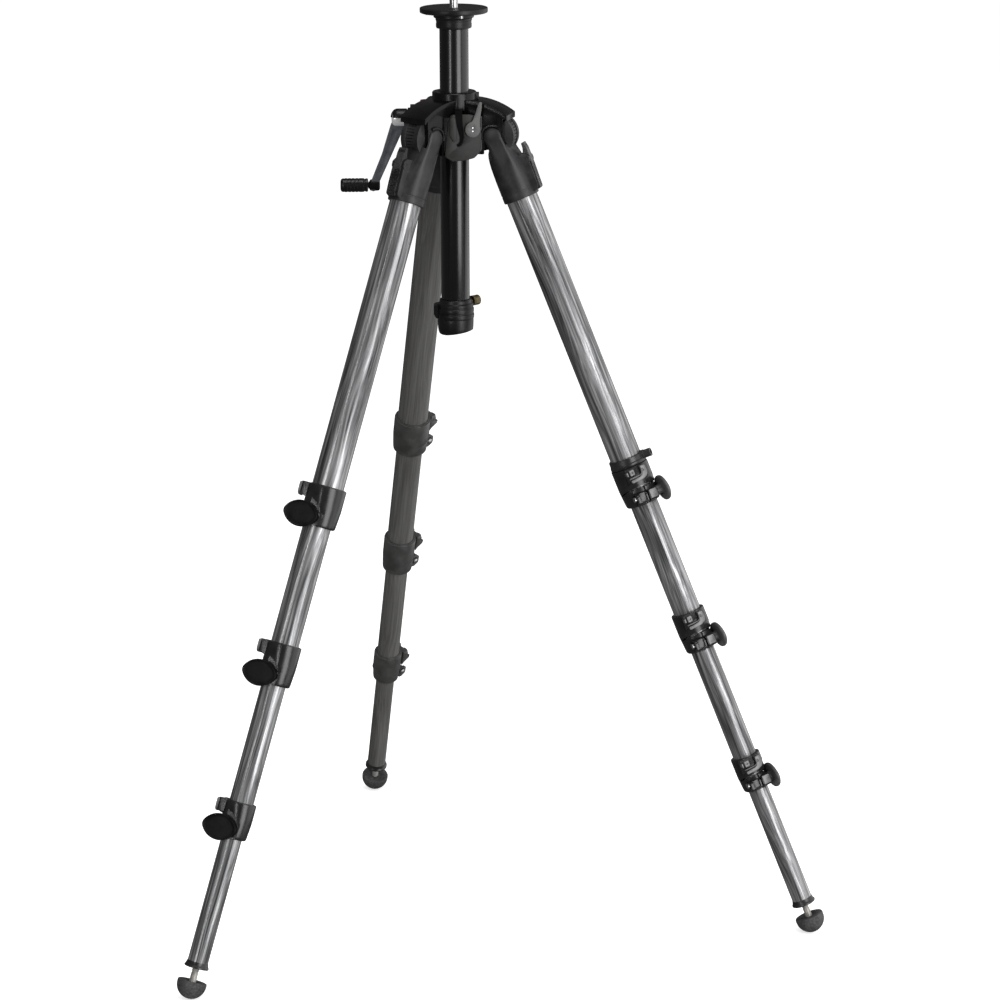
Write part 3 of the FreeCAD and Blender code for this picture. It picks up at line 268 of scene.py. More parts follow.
MATERIALS = {
    "cast_black": painted((0.0022, 0.0022, 0.0025), (0.0050, 0.0050, 0.0055), 0.27, grain=1500,
                          wear=(0.045, 0.045, 0.047), wear_share=0.2, specular=0.27),
    "cast_grey": painted((0.011, 0.011, 0.012), (0.026, 0.026, 0.028), 0.42, grain=1500,
                         wear=(0.10, 0.10, 0.105), wear_share=0.25, specular=0.4),
    "plate_black": painted((0.004, 0.004, 0.0045), (0.010, 0.010, 0.011), 0.36, grain=2200, wear=grey(0.10),
                           specular=0.3),
    "column_gloss": brushed((0.0018, 0.0018, 0.002), (0.0040, 0.0040, 0.0045), 0.24, coat=0.3, metallic=0.0,
                            spread=0.06, depth=0.000012),
    "steel": brushed((0.40, 0.40, 0.41), (0.66, 0.66, 0.67), 0.3, stretch=(300, 300, 300)),
    "brass": brushed((0.060, 0.050, 0.028), (0.22, 0.18, 0.10), 0.34, stretch=(300, 300, 300)),
    "bush_plastic": painted((0.008, 0.008, 0.009), (0.014, 0.014, 0.015), 0.5),
    "level_red": painted((0.34, 0.012, 0.010), (0.50, 0.03, 0.02), 0.25, coat=0.6, wear=(0.5, 0.1, 0.08)),
    "grip_black": painted((0.003, 0.003, 0.0035), grey(0.008), 0.36, grain=1300, wear=grey(0.045),
                          specular=0.45),
    "carbon": carbon(((0.045, 0.045, 0.047), (0.21, 0.21, 0.215), (0.56, 0.56, 0.57)), metallic=0.6),
    "clamp_grey": painted((0.008, 0.008, 0.0086), (0.018, 0.018, 0.019), 0.25, grain=1500, wear=grey(0.07),
                          wear_share=0.25, specular=0.6, spread=0.05),
    "knob_black": painted(grey(0.003), grey(0.009), 0.42, grain=900, wear=grey(0.09), wear_share=0.5,
                          specular=0.1, depth=0.0003, speckle=0.4),
    # Painted shade: a duller, darker copy of the carbon with weak streaks, for the back leg's tubes.
    "carbon_back_painted_shade": carbon(((0.080, 0.078, 0.075), (0.115, 0.113, 0.109), (0.155, 0.153, 0.148)),
                          metallic=0.3, rough=0.5, relief=0.00003, coat=0.1),
    "latch_grey": knurled((0.004, 0.004, 0.0045), grey(0.09), 0.4),
    "lever_grey": painted((0.040, 0.0395, 0.0385), (0.068, 0.067, 0.065), 0.42, grain=1300,
                          wear=grey(0.26)),
    "web_grey": painted((0.010, 0.0095, 0.009), (0.021, 0.0198, 0.0185), 0.36, grain=1300,
                        wear=(0.12, 0.115, 0.11), specular=0.2),
    "crank_blue": painted((0.065, 0.070, 0.082), (0.115, 0.122, 0.138), 0.36, grain=1300,
                          wear=(0.32, 0.33, 0.35), specular=0.6),
    # Painted reflection: an almost white, weakly metallic finish that stands in for chrome mirroring bright
    # surroundings.
    "chrome_painted_reflection": brushed(grey(0.80), grey(0.95), 0.2, stretch=(200, 200, 200), metallic=0.3),
    # Painted highlight: a much lighter copy of the clamp finish for the raised faces that catch the light.
    "clamp_painted_highlight": painted((0.075, 0.075, 0.076), (0.15, 0.15, 0.152), 0.3, grain=1500, wear=grey(0.35),
                           wear_share=0.5, specular=0.8),
    # Painted light: a lighter, flatter copy of the clamp finish for the back leg's clamps.
    "clamp_back_painted_light": painted((0.030, 0.030, 0.029), (0.060, 0.059, 0.058), 0.35, grain=1500, wear=grey(0.14),
                          wear_share=0.5),
    "clip_black": painted(grey(0.008), grey(0.022), 0.3, grain=1500, wear=grey(0.12), specular=0.6),
    "pin_steel": brushed((0.26, 0.25, 0.235), (0.42, 0.40, 0.375), 0.4, stretch=(300, 300, 300),
                         metallic=0.4),
    "rubber": painted((0.045, 0.045, 0.046), (0.095, 0.094, 0.094), 0.75, grain=420, depth=0.0006,
                      wear=grey(0.12), specular=0.3, speckle=0.1),
    # Painted light: a lighter copy of the knob finish for the knobs of the right and back legs.
    "knob_painted_light": painted(grey(0.045), (0.110, 0.110, 0.108), 0.42, grain=900, wear=grey(0.16),
                         wear_share=0.5, specular=0.5, depth=0.0003, speckle=0.4),
    # Painted shade: a near-black, almost unreflective finish for the floor of a groove.
    "recess_painted_shade": painted(grey(0.0012), grey(0.003), 0.6, specular=0.04, wear=grey(0.01)),
    # Painted light: a copy of the latch finish with much lighter dots, for the latches of the right and back
    # legs.
    "latch_painted_light": knurled(grey(0.010), grey(0.26), 0.4),
}
for name, material in MATERIALS.items():
    material.name = name

# -------------------------------------------------------------------- shaping

def hip_matrix(azimuth):
    """The leg's own frame: -Z runs down the leg and +X points outward, in metres."""
    turn = Matrix.Rotation(math.radians(azimuth), 4, "Z")
    lean = Matrix.Rotation(math.radians(-SPREAD), 4, "Y")
    hinge = turn @ Vector((HIP_RADIUS * MM, 0, 0))
    return Matrix.Translation((hinge.x, hinge.y, -HIP_DEPTH * MM)) @ turn @ lean


def settle(obj, angle=32):
    """Apply the modifiers, and mark the edges that stay sharp."""
    made = bpy.data.meshes.new_from_object(obj.evaluated_get(bpy.context.evaluated_depsgraph_get()))
    obj.modifiers.clear()
    obj.data = made
    made.shade_smooth()
    made.set_sharp_from_angle(angle=math.radians(angle))
    return obj


def add_bevel(obj, width, segments=2):
    bevel = obj.modifiers.new("rounding", "BEVEL")
    bevel.width = width * MM
    bevel.segments = segments
    bevel.limit_method = "ANGLE"
    bevel.angle_limit = math.radians(30)


def new_object(name, bm, matrix=None):
    mesh = bpy.data.meshes.new(name)
    bm.to_mesh(mesh)
    bm.free()
    obj = bpy.data.objects.new(name, mesh)
    scene.collection.objects.link(obj)
    if matrix is not None:
        obj.matrix_world = matrix
    return obj


def finish_piece(obj, body, slot, nodes=(), finish=None):
    if finish and obj.data.users > 1:
        obj.data = obj.data.copy()
    obj.data.materials.clear()
    obj.data.materials.append(MATERIALS[finish or slot])
    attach(obj, body)
    if nodes:
        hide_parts(*nodes)


def plain_piece(name, bm, body, slot, nodes=(), finish=None, matrix=None, angle=40):
    """A piece straight from a bmesh, without rounded edges."""
    finish_piece(settle(new_object(name, bm, matrix), angle), body, slot, nodes, finish)


def softened(node, body, slot, width):
    """A copy of a CAD node with its edges rounded."""
    bm = bmesh.new()
    bm.from_mesh(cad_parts[node].data)
    bmesh.ops.remove_doubles(bm, verts=bm.verts, dist=2e-6)
    bmesh.ops.dissolve_limit(bm, angle_limit=math.radians(1.0), verts=bm.verts, edges=bm.edges)
    obj = new_object(node + "_visual", bm)
    add_bevel(obj, width)
    finish_piece(settle(obj), body, slot, [node])


def moved(bm, matrix):
    bmesh.ops.transform(bm, matrix=matrix, verts=bm.verts)
    return bm


def turned_z(degrees):
    return Matrix.Rotation(math.radians(degrees), 4, "Z")


def arc(radius, first, last, steps, centre=(0, 0)):
    """Points of an arc between two angles in degrees, both ends included."""
    angles = [math.radians(first + (last - first) * index / steps) for index in range(steps + 1)]
    return [(centre[0] + radius * math.cos(angle), centre[1] + radius * math.sin(angle)) for angle in angles]


def both_sides(near, far):
    """The spans from near to far on either side of zero, the negative one first."""
    return [(-far, -near), (near, far)]


def lathe(profile, steps=96, closed=True):
    """Turn (radius, height) points in mm about Z."""
    bm = bmesh.new()
    rings = []
    for radius, height in profile:
        rings.append([bm.verts.new((radius * MM * math.cos(2 * math.pi * i / steps),
                                    radius * MM * math.sin(2 * math.pi * i / steps), height * MM))
                      for i in range(steps)])
    pairs = list(zip(rings, rings[1:]))
    if closed:
        pairs.append((rings[-1], rings[0]))
    for lower, upper in pairs:
        for i in range(steps):
            k = (i + 1) % steps
            bm.faces.new((lower[i], lower[k], upper[k], upper[i]))
    bmesh.ops.remove_doubles(bm, verts=bm.verts, dist=1e-7)
    bmesh.ops.recalc_face_normals(bm, faces=bm.faces)
    return bm


def prism(outline, low, high, plane="XZ"):
    """A solid from an outline in mm in one plane, between two heights across it."""
    bm = bmesh.new()
    order = {"XZ": (0, 2, 1), "XY": (0, 1, 2), "YZ": (2, 0, 1)}[plane]
    rings = []
    for level in (low, high):
        rings.append([bm.verts.new([(a, b, level)[axis] * MM for axis in order]) for a, b in outline])
    bm.faces.new(rings[0])
    bm.faces.new(rings[1])
    for i in range(len(outline)):
        k = (i + 1) % len(outline)
        bm.faces.new((rings[0][i], rings[0][k], rings[1][k], rings[1][i]))
    bmesh.ops.recalc_face_normals(bm, faces=bm.faces)
    return bm


def block(low, high):
    outline = [(low[0], low[1]), (high[0], low[1]), (high[0], high[1]), (low[0], high[1])]
    return prism(outline, low[2], high[2], "XY")


def bar(radius, start, end, steps=48):
    """A round bar between two points in mm."""
    start, end = Vector(start), Vector(end)
    bm = bmesh.new()
    bmesh.ops.create_cone(bm, cap_ends=True, segments=steps, radius1=radius * MM, radius2=radius * MM,
                          depth=(end - start).length * MM)
    turn = (end - start).to_track_quat("Z", "Y").to_matrix().to_4x4()
    return moved(bm, Matrix.Translation((start + end) / 2 * MM) @ turn)


def round_outline(points, radius, steps=6):
    """The outline with each corner rounded; a third number in a point is its own radius."""
    made = []
    count = len(points)
    for index, point in enumerate(points):
        corner = Vector(point[:2])
        own = point[2] if len(point) > 2 else radius
        before = Vector(points[index - 1][:2]) - corner
        after = Vector(points[(index + 1) % count][:2]) - corner
        half = before.angle(after) / 2
        reach = min(own / math.tan(half), before.length * 0.49, after.length * 0.49)
        start = corner + before.normalized() * reach
        end = corner + after.normalized() * reach
        for step in range(steps + 1):
            share = step / steps
            rest = 1 - share
            made.append(tuple(start * rest ** 2 + corner * 2 * share * rest + end * share ** 2))
    return made


def rounded(points, radius, low, high, plane="XZ"):
    return prism(round_outline(points, radius), low, high, plane)


def boolean(obj, bm, kind):
    """Join or cut with a tool given as a bmesh; the tool is thrown away."""
    tool = new_object("tool", bm, obj.matrix_world)
    change = obj.modifiers.new("change", "BOOLEAN")
    change.operation = kind
    change.solver = "EXACT"
    change.object = tool
    made = bpy.data.meshes.new_from_object(obj.evaluated_get(bpy.context.evaluated_depsgraph_get()))
    obj.modifiers.clear()
    obj.data = made
    bpy.data.objects.remove(tool)


def carved(name, base, joins=(), cuts=(), matrix=None, width=0.4, segments=2, angle=32):
    """A solid from joins and cuts, with its edges rounded."""
    obj = new_object(name, base)
    for bm in joins:
        boolean(obj, bm, "UNION")
    for bm in cuts:
        boolean(obj, bm, "DIFFERENCE")
    bm = bmesh.new()
    bm.from_mesh(obj.data)
    bmesh.ops.remove_doubles(bm, verts=bm.verts, dist=4e-6)
    bmesh.ops.dissolve_limit(bm, angle_limit=math.radians(0.8), verts=bm.verts, edges=bm.edges)
    bm.to_mesh(obj.data)
    bm.free()
    if width:
        add_bevel(obj, width, segments)
    settle(obj, angle)
    if matrix is not None:
        obj.matrix_world = matrix
    return obj


def twin(obj, name, matrix):
    """Another object with the same mesh."""
    made = bpy.data.objects.new(name, obj.data)
    scene.collection.objects.link(made)
    made.matrix_world = matrix
    return made


def joined(name, parts):
    """One object from several, all in the same frame."""
    bm = bmesh.new()
    for part in parts:
        bm.from_mesh(part.data)
        bpy.data.objects.remove(part)
    obj = new_object(name, bm)
    obj.data.shade_smooth()
    obj.data.set_sharp_from_angle(angle=math.radians(35))
    return obj


# --------------------------------------------------------------------- clamps

def knob_parts(number, upper, screw_x, screw_z):
    """An almond wing with a raised rim and a dished face on a stepped neck, and its screw."""
    bend = (KNOB_LENGTH ** 2 + KNOB_WIDTH ** 2) / (4 * KNOB_WIDTH)
    shift = bend - KNOB_WIDTH / 2
    half_angle = math.asin(KNOB_LENGTH / 2 / bend)
    outline = []
    for side in (1, -1):
        for step in range(33):
            t = (-1 + 2 * step / 32) * half_angle * side
            outline.append((bend * math.sin(t), side * (bend * math.cos(t) - shift)))
    outline = [p for i, p in enumerate(outline) if i % 33 not in (0, 32)]
    wing_start = upper + KNOB_FLAT + KNOB_GAP
    bm = bmesh.new()
    levels = [(0.0, 0.2), (0.62, 0.0), (0.90, 0.2), (0.965, 0.8), (0.99, 1.9), (0.985, 3.4), (0.955, 4.4),
              (0.92, 4.6), (0.885, 4.2), (0.83, 3.5), (0.55, 3.2), (0.3, 3.1), (0.0, 3.1)]
    rings = []
    for share, height in levels:
        if share == 0.0:
            rings.append([bm.verts.new((screw_x * MM, (wing_start + height) * MM, screw_z * MM))])
            continue
        rings.append([bm.verts.new(((screw_x + x * share) * MM, (wing_start + height) * MM,
                                    (screw_z + z * share) * MM)) for x, z in outline])
    count = len(outline)
    for first, second in zip(rings, rings[1:]):
        for i in range(count):
            k = (i + 1) % count
            if len(first) == 1:
                bm.faces.new((first[0], second[i], second[k]))
            elif len(second) == 1:
                bm.faces.new((first[i], first[k], second[0]))
            else:
                bm.faces.new((first[i], first[k], second[k], second[i]))
    bmesh.ops.recalc_face_normals(bm, faces=bm.faces)
    wing = new_object("wing", bm)
    smooth = wing.modifiers.new("smooth", "SUBSURF")
    smooth.levels = smooth.render_levels = 1
    settle(wing, 60)
    along_y = (Matrix.Translation(Vector((screw_x, 0, screw_z)) * MM)
               @ Matrix.Rotation(math.radians(-90), 4, "X"))
    neck_bm = lathe([(0.0, 12.9), (4.9, 12.9), (5.4, 13.4), (5.4, wing_start - 1.2), (6.0, wing_start + 0.3),
                     (0.0, wing_start + 0.6)], 48, closed=False)
    neck = new_object("neck", moved(neck_bm, along_y))
    knob = joined(f"knob_mesh_{number}", [wing, neck])
    # The screw: a shank with a domed nut at its far end.
    end_bm = lathe([(0, -17.0), (2.4, -16.9), (3.4, -16.3), (3.6, -15.4), (3.6, -12.9), (2.0, -12.8),
                    (2.0, 17.0), (0.0, 17.0)], 40, closed=False)
    screw = settle(new_object(f"screw_mesh_{number}", moved(end_bm, along_y)), 40)
    return knob, screw


def clamp_parts(number):
    """One clamp and its knob, in the clamp's own frame: +X the lugs, +Y the knob, Z up the leg."""
    upper = TUBE_RADII[number - 1]
    lower = TUBE_RADII[number]
    length = CLAMP_LENGTHS[number - 1]
    ring = upper + 3.8
    low_ring = lower + 4.4
    screw_x = lower + 2.5
    screw_z = -length + 10
    split = length * CLAMP_SPLIT
    shell = lathe([
        (upper + 0.05, 0.0), (ring - 1.1, 0.0), (ring - 0.25, -0.35), (ring, -1.2), (ring, -split + 2),
        (ring - 0.35, -split - 3), (low_ring + 0.35, -length + 4.5), (low_ring - 0.1, -length + 1.6),
        (low_ring - 1.2, -length + 0.3), (low_ring - 2.4, -length), (lower + 0.1, -length),
        (lower + 0.1, -split - 0.2), (upper + 0.05, -split + 0.2)], 96)
    lug = rounded([(ring - 4, 0.0, 0.5), (ring + 8.6, 0.0, 5.0), (ring + 9.4, -6.5, 6.0),
                   (ring + 7.5, -14.2, 4.5), (ring - 1.5, -17.0, 3.0), (ring - 6, -20, 0.5)], 3, -15.5, 8.5)
    ears = rounded([(lower - 1.0, -split - 2.6, 0.5), (screw_x + 4.0, -split - 4.0, 4.0),
                    (screw_x + 9.0, screw_z + 3.5, 5.0), (screw_x + 8.4, screw_z - 6.5, 4.0),
                    (lower + 3.0, screw_z - 9.0, 3.0), (lower - 1.0, screw_z - 8.0, 0.5)], 3, -14.0, 12.2)
    # The slot sweeps down from between the lugs and fades out at the collar's back.
    sweep = [(ring + 14, -split + 2.2), (screw_x + 2, -split + 1.6), (lower * 0.55, -split - 0.6),
             (0, -split - 3.4), (-lower * 0.5, -split - 5.6)]
    slot = prism([(a, b + t) for (a, b), t in zip(sweep, (1.6, 1.3, 1.0, 0.7, 0.12))]
                 + [(a, b - t) for (a, b), t in zip(reversed(sweep), (0.12, 0.7, 1.0, 1.3, 1.6))], -40, 40)
    slit = block((2, -1.0, -length - 2), (40, 1.0, -split + 1.6))
    bore_low = bar(lower + 0.1, (0, 0, -length - 3), (0, 0, 1))
    bore_up = bar(upper + 0.05, (0, 0, -split + 0.2), (0, 0, 3))
    pocket = rounded([(-19.0, 4.0), (0.8, 4.0), (0.8, -10.2, 3.2), (-19.0, -10.2)], 0.3, ring + 3.2,
                     ring + 16, "YZ")
    side_step = block((ring + 4.6, 4.4, -20), (ring + 14, 12, 4))
    seat = bar(4.9, (screw_x, -18, screw_z), (screw_x, -12.6, screw_z))
    spot = bar(6.2, (screw_x, 12.3, screw_z), (screw_x, 30, screw_z))
    flat = bar(22.0, (screw_x, upper + KNOB_FLAT, screw_z), (screw_x, upper + 20, screw_z), 72)
    ear_hollow = rounded([(-10.5, screw_z + 5.2), (-2.6, screw_z + 5.2), (-2.6, screw_z - 4.6),
                          (-10.5, screw_z - 4.6)], 1.5, screw_x + 5.6, screw_x + 16, "YZ")
    boss = rounded([(-12.4, -1.8), (-6.4, -1.8), (-6.4, -8.6), (-12.4, -8.6)], 1.2, ring + 2.5, ring + 6.4,
                   "YZ")
    small_boss = rounded([(-15.6, -3.4), (-13.6, -3.4), (-13.6, -8.2), (-15.6, -8.2)], 0.7, ring - 2.0,
                         ring + 4.6, "YZ")
    dimple = bar(1.3, (ring + 5.2, -9.4, -5.2), (ring + 9, -9.4, -5.2))
    cuts = (bore_low, bore_up, pocket, side_step, slot, slit, seat, spot, flat, ear_hollow)
    clamp = carved(f"clamp_{number}", shell, (lug, ears), cuts, width=0.45)
    lip = carved("lip", lathe([(upper + 0.04, 0.4), (upper + 1.5, 0.4), (upper + 1.9, 0.0),
                               (upper + 1.9, -1.5), (upper + 0.04, -1.5)], 96), width=0)
    clamp = joined(f"clamp_mesh_{number}", [clamp, lip])
    # Painted highlight: two small bosses, the hooked rim of the pocket and the ears' ends, kept apart for a
    # lighter finish.
    bosses = carved("bosses", boss, (small_boss,), (dimple,), width=0.35)
    rim = [(1.6, -1.2, 0.8), (7.4, -1.0, 2.0), (8.1, -8.0, 4.0), (6.6, -13.6, 4.5), (0.5, -16.2, 4.0),
           (-14.0, -16.6, 1.0), (-14.6, -13.4, 1.0), (-3.0, -12.6, 2.0), (1.2, -10.8, 2.2)]
    hook = carved("hook", prism(round_outline(rim, 2, 4), ring + 6.2, ring + 9.1, "YZ"), width=0.5)
    pad = rounded([(1.8, screw_z + 5.6), (11.2, screw_z + 5.4, 2), (11.2, screw_z - 4.6, 2),
                   (1.8, screw_z - 5.0)], 1.5, screw_x + 7.4, screw_x + 9.5, "YZ")
    pads = carved("pads", pad, width=0.45)
    light = joined(f"painted_highlight_mesh_{number}", [bosses, hook, pads])
    knob, screw = knob_parts(number, upper, screw_x, screw_z)
    return clamp, knob, screw, light


# ------------------------------------------------------------------- castings

def loft(sections, steps=96):
    """A closed solid through level sections: (height, centre x, half x, half y, squareness)."""
    bm = bmesh.new()
    rings = []
    for height, centre, half_x, half_y, power in sections:
        ring = []
        for i in range(steps):
            angle = 2 * math.pi * i / steps
            c, k = math.cos(angle), math.sin(angle)
            ring.append(bm.verts.new(((centre + math.copysign(abs(c) ** (2 / power), c) * half_x) * MM,
                                      math.copysign(abs(k) ** (2 / power), k) * half_y * MM, height * MM)))
        rings.append(ring)
    for lower, upper in zip(rings, rings[1:]):
        for i in range(steps):
            k = (i + 1) % steps
            bm.faces.new((lower[i], lower[k], upper[k], upper[i]))
    bm.faces.new(rings[0])
    bm.faces.new(rings[-1])
    bmesh.ops.recalc_face_normals(bm, faces=bm.faces)
    return bm


def casting_mesh():
    """A leg's casting: barrel at the hinge, ratchet drum, flanks and the socket, flowing into each other."""
    shell = loft([
        (-78.4, 0, 20.6, 20.6, 2.0), (-77.8, 0, 21.2, 21.2, 2.0), (-70.6, 0, 21.3, 21.3, 2.0),
        (-70.2, 0, 20.9, 20.9, 2.0), (-69.2, 0, 20.9, 20.9, 2.0), (-68.8, 0, 21.2, 21.2, 2.0),
        (-60, 0, 21.1, 21.1, 2.0), (-50, 0, 20.9, 20.9, 2.05), (-42, 0, 20.4, 20.6, 2.2),
        (-34, -0.3, 19.4, 20.0, 2.5), (-28, -0.5, 18.2, 19.5, 2.8), (-22, -0.8, 16.6, 19.2, 3.1),
        (-17.5, -0.8, 15.0, 18.6, 3.3), (-14.6, -0.6, 13.4, 17.2, 3.4), (-12.8, -0.4, 12.4, 14.6, 3.4),
        (-12.2, 0, 12.0, 13.6, 4.0), (0, 0, 11.0, 13.6, 4.0)])
    barrel = bar(12.0, (0, -13.6, 0), (0, 13.6, 0), 72)
    boss = lathe([(0, -22.3), (4.6, -22.15), (8.0, -21.6), (9.8, -20.8), (10.5, -19.6), (10.5, 19.6),
                  (9.8, 20.8), (8.0, 21.6), (4.6, 22.15), (0.0, 22.3)], 72, closed=False)
    moved(boss, Matrix.Rotation(math.radians(90), 4, "X"))
    flank = loft([(-66, 0, 20.6, 20.6, 2.0), (-56, 0, 20.6, 21.1, 2.1), (-48, 0, 19.8, 21.5, 2.3),
                  (-40, 0.3, 18.2, 21.8, 2.7), (-33, 0.8, 16.2, 22.0, 3.2), (-26, 0.8, 14.4, 22.1, 3.8),
                  (-18, 0.6, 12.9, 22.1, 4.5), (-9, 0.2, 12.0, 22.1, 5), (0, 0, 11.6, 22.0, 5)])
    drum = [(0, 0)] + arc(23.6, -100, 30, 24)
    rims = [prism(drum, low, high) for low, high in both_sides(7.0, 13.4)]
    teeth = [(0, 0)]
    for index in range(14):
        rise = math.radians(-100 + 130 * index / 14)
        drop = math.radians(-100 + 130 * (index + 0.72) / 14)
        teeth += [(radius * math.cos(angle), radius * math.sin(angle))
                  for radius, angle in ((22.4, rise), (22.4, drop), (19.4, drop))]
    ratchet = prism(teeth, -7.4, 7.4)
    ear = round_outline([(12, -30.0, 1), (25.0, -31.5, 3), (28.6, -36.0, 3), (28.4, -41.5, 3),
                         (24.0, -45.0, 3), (12, -45.0, 1)], 2)
    rail = round_outline([(14, -40, 1), (27.0, -41.5, 2), (26.6, -60, 8), (25.6, -73.5, 3), (19.5, -76.5, 1),
                          (14, -74, 1)], 2)
    # Ears hold the angle latch's pin, and rails run beside the latch.
    guards = [prism(ear, low, high) for low, high in both_sides(6.5, 9.7)]
    guards += [prism(rail, low, high) for low, high in both_sides(6.5, 9.3)]
    # Room for the hub's cheeks: flat for the folded leg, round for its swing.
    cuts = [block((-30, low, -24.4), (-9.0, high, -2)) for low, high in reversed(both_sides(13.5, 19.8))]
    cuts.append(bar(5.06, (0, -19.0, 0), (0, 19.0, 0), 48))
    cuts += [bar(18.0, (0, low, 0), (0, high, 0), 72) for low, high in both_sides(13.7, 19.8)]
    cuts.append(bar(18.55, (0, 0, -90), (0, 0, -50), 96))
    cuts.append(block((20.6, -6.4, -82), (40, 6.4, -6)))
    cuts.append(bar(1.55, (25.6, -12, -38), (25.6, 12, -38), 24))
    joins = [barrel, *rims, ratchet, boss, flank, *guards]
    return carved("casting_mesh", shell, joins, cuts, width=0.55, angle=34)


def latch_mesh():
    """The angle latch: a ribbed bar with a nose, on its cross pin."""
    base = rounded([(24.6, -19.2, 1.0), (27.4, -19.2, 1.0), (28.7, -26, 4), (28.7, -40, 6),
                    (27.3, -73.6, 1.4), (24.6, -75.8, 0.8), (24.4, -44, 2), (21.7, -33, 1.5),
                    (24.3, -25, 2)], 1.0, -6.0, 6.0)
    grooves = []
    for index in range(13):
        level = -46.0 - index * 2.1
        depth = 28.7 - (abs(level) - 40) * 0.042 - 0.75
        grooves.append(block((depth, -5.0, level - 0.5), (depth + 4, 5.0, level + 0.5)))
    for side in (-2.4, 0.0, 2.4):
        grooves.append(block((27.0, side - 0.35, -72.2), (33, side + 0.35, -45.2)))
    pin = bar(1.5, (25.6, -9.2, -38), (25.6, 9.2, -38), 24)
    return carved("latch_mesh", base, [pin], grooves, width=0.25, segments=1)


# ----------------------------------------------------------------------- legs

def tube_span(section):
    """Where a section's tube starts and ends along the leg, in mm."""
    if section == 3:
        return FLANGE_START - SECTION_LENGTH, FLANGE_START
    end = CLAMP_STARTS[section] + CLAMP_LENGTHS[section] * CLAMP_SPLIT - 1
    return (end - SECTION_LENGTH if section else FIRST_TUBE_START), end


CASTING = casting_mesh()
LATCH = latch_mesh()
CLAMP_MESHES = {number: clamp_parts(number) for number in (1, 2, 3)}

# The foot: black end cap on the tube, bright pin and a rubber dome with a shallow cup on top.
flange = -FLANGE_START
ball = -FOOT_CENTRE
tip = TUBE_RADII[3]
CAP_PROFILE = [
    (4.1, flange + 0.3), (tip + 0.3, flange + 3.0), (tip + 0.7, flange + 1.2), (tip + 1.2, flange - 0.4),
    (13.6, flange - 1.6), (14.15, flange - 2.3), (14.15, flange - 3.6), (13.5, flange - 4.3),
    (10.0, flange - 4.4), (8.0, flange - 3.6), (4.1, flange - 3.6)]
PIN_PROFILE = [
    (0.0, flange - 1), (3.95, flange - 1), (3.95, flange - 8.0), (3.5, flange - 8.6), (3.5, flange - 10.0),
    (3.95, flange - 10.6), (3.95, ball - 2.6), (0.0, ball - 2.8)]
DOME_PROFILE = [
    (4.06, ball + 2.6), (6.4, ball + 2.6), (7.2, ball + 3.3), (15.4, ball + 3.95), (16.6, ball + 3.5),
    (17.0, ball + 2.4), *arc(DOME_RADIUS, 0, -90, 12, (0, ball))[:-1], (0.0, ball - DOME_RADIUS),
    (0.0, ball - 3.4), (4.06, ball - 3.4)]

for leg, azimuth in LEGS.items():
    hip = hip_matrix(azimuth)
    back = leg == "back"
    bodies = [f"{leg}_leg_upper", f"{leg}_leg_2", f"{leg}_leg_3", f"{leg}_leg_4"]
    for section, radius in enumerate(TUBE_RADII):
        node = f"{leg}_tube_{section + 1}"
        start, end = tube_span(section)
        inner = radius - TUBE_WALL
        tube = lathe([(inner, -start), (inner, -end), (radius - 0.3, -end), (radius, -end + 0.3),
                      (radius, -start - 0.3), (radius - 0.3, -start)], 128)
        # The back leg's tubes get the copy of the carbon with painted shade.
        plain_piece(f"{node}_visual", tube, bodies[section], "carbon", [node],
                    "carbon_back_painted_shade" if back else None, hip)
        if section:
            outer = TUBE_RADII[section - 1] - TUBE_WALL - 0.08
            glide = lathe([(radius + 0.02, -start - 2), (radius + 0.02, -start - 38),
                           (outer - 0.4, -start - 38), (outer, -start - 37.2), (outer, -start - 2.8),
                           (outer - 0.4, -start - 2)], 72)
            plain_piece(f"{leg}_glide_{section + 1}", glide, bodies[section], "bush_plastic", matrix=hip)
    finish_piece(twin(CASTING, f"{leg}_casting_visual", hip), bodies[0], "cast_grey", [f"{leg}_casting"])
    # The left leg's latch keeps the dark finish; the others get the copy with painted light.
    finish_piece(twin(LATCH, f"{leg}_angle_latch_visual", hip), f"{leg}_angle_latch", "latch_grey",
                 [f"{leg}_angle_latch"], None if leg == "left" else "latch_painted_light")
    for number, (clamp, knob, screw, light) in CLAMP_MESHES.items():
        holder, collar, turning = bodies[number - 1], f"{leg}_clamp_{number}", f"{leg}_knob_{number}"
        place = hip @ Matrix.Translation((0, 0, -CLAMP_STARTS[number - 1] * MM)) @ turned_z(LUG_TURN)
        # The back leg's clamps get the lighter copy with painted light.
        finish_piece(twin(clamp, f"{collar}_visual", place), holder, "clamp_grey", [collar],
                     "clamp_back_painted_light" if back else None)
        # The raised faces: painted highlight on the left and right legs, the lighter back copy on the back
        # leg.
        finish_piece(twin(light, f"{collar}_faces", place), holder, "clamp_grey", (),
                     "clamp_back_painted_light" if back else "clamp_painted_highlight")
        # The left leg's knobs stay dark; the others get the lighter copy with painted light.
        finish_piece(twin(knob, f"{turning}_visual", place), turning, "knob_black", [turning],
                     None if leg == "left" else "knob_painted_light")
        finish_piece(twin(screw, f"{turning}_screw", place), turning, "steel")
    plain_piece(f"{leg}_end_cap", moved(lathe(CAP_PROFILE, 72), hip), bodies[3], "steel", (), "clip_black")
    plain_piece(f"{leg}_foot_pin", moved(lathe(PIN_PROFILE, 48, closed=False), hip), bodies[3], "steel",
                [f"{leg}_foot_stem"], "pin_steel")
    plain_piece(f"{leg}_foot_dome", moved(lathe(DOME_PROFILE, 96), hip), f"{leg}_foot_pad", "rubber",
                [f"{leg}_foot_rubber"])

for obj in (CASTING, LATCH, *(one for parts in CLAMP_MESHES.values() for one in parts)):
    bpy.data.objects.remove(obj)

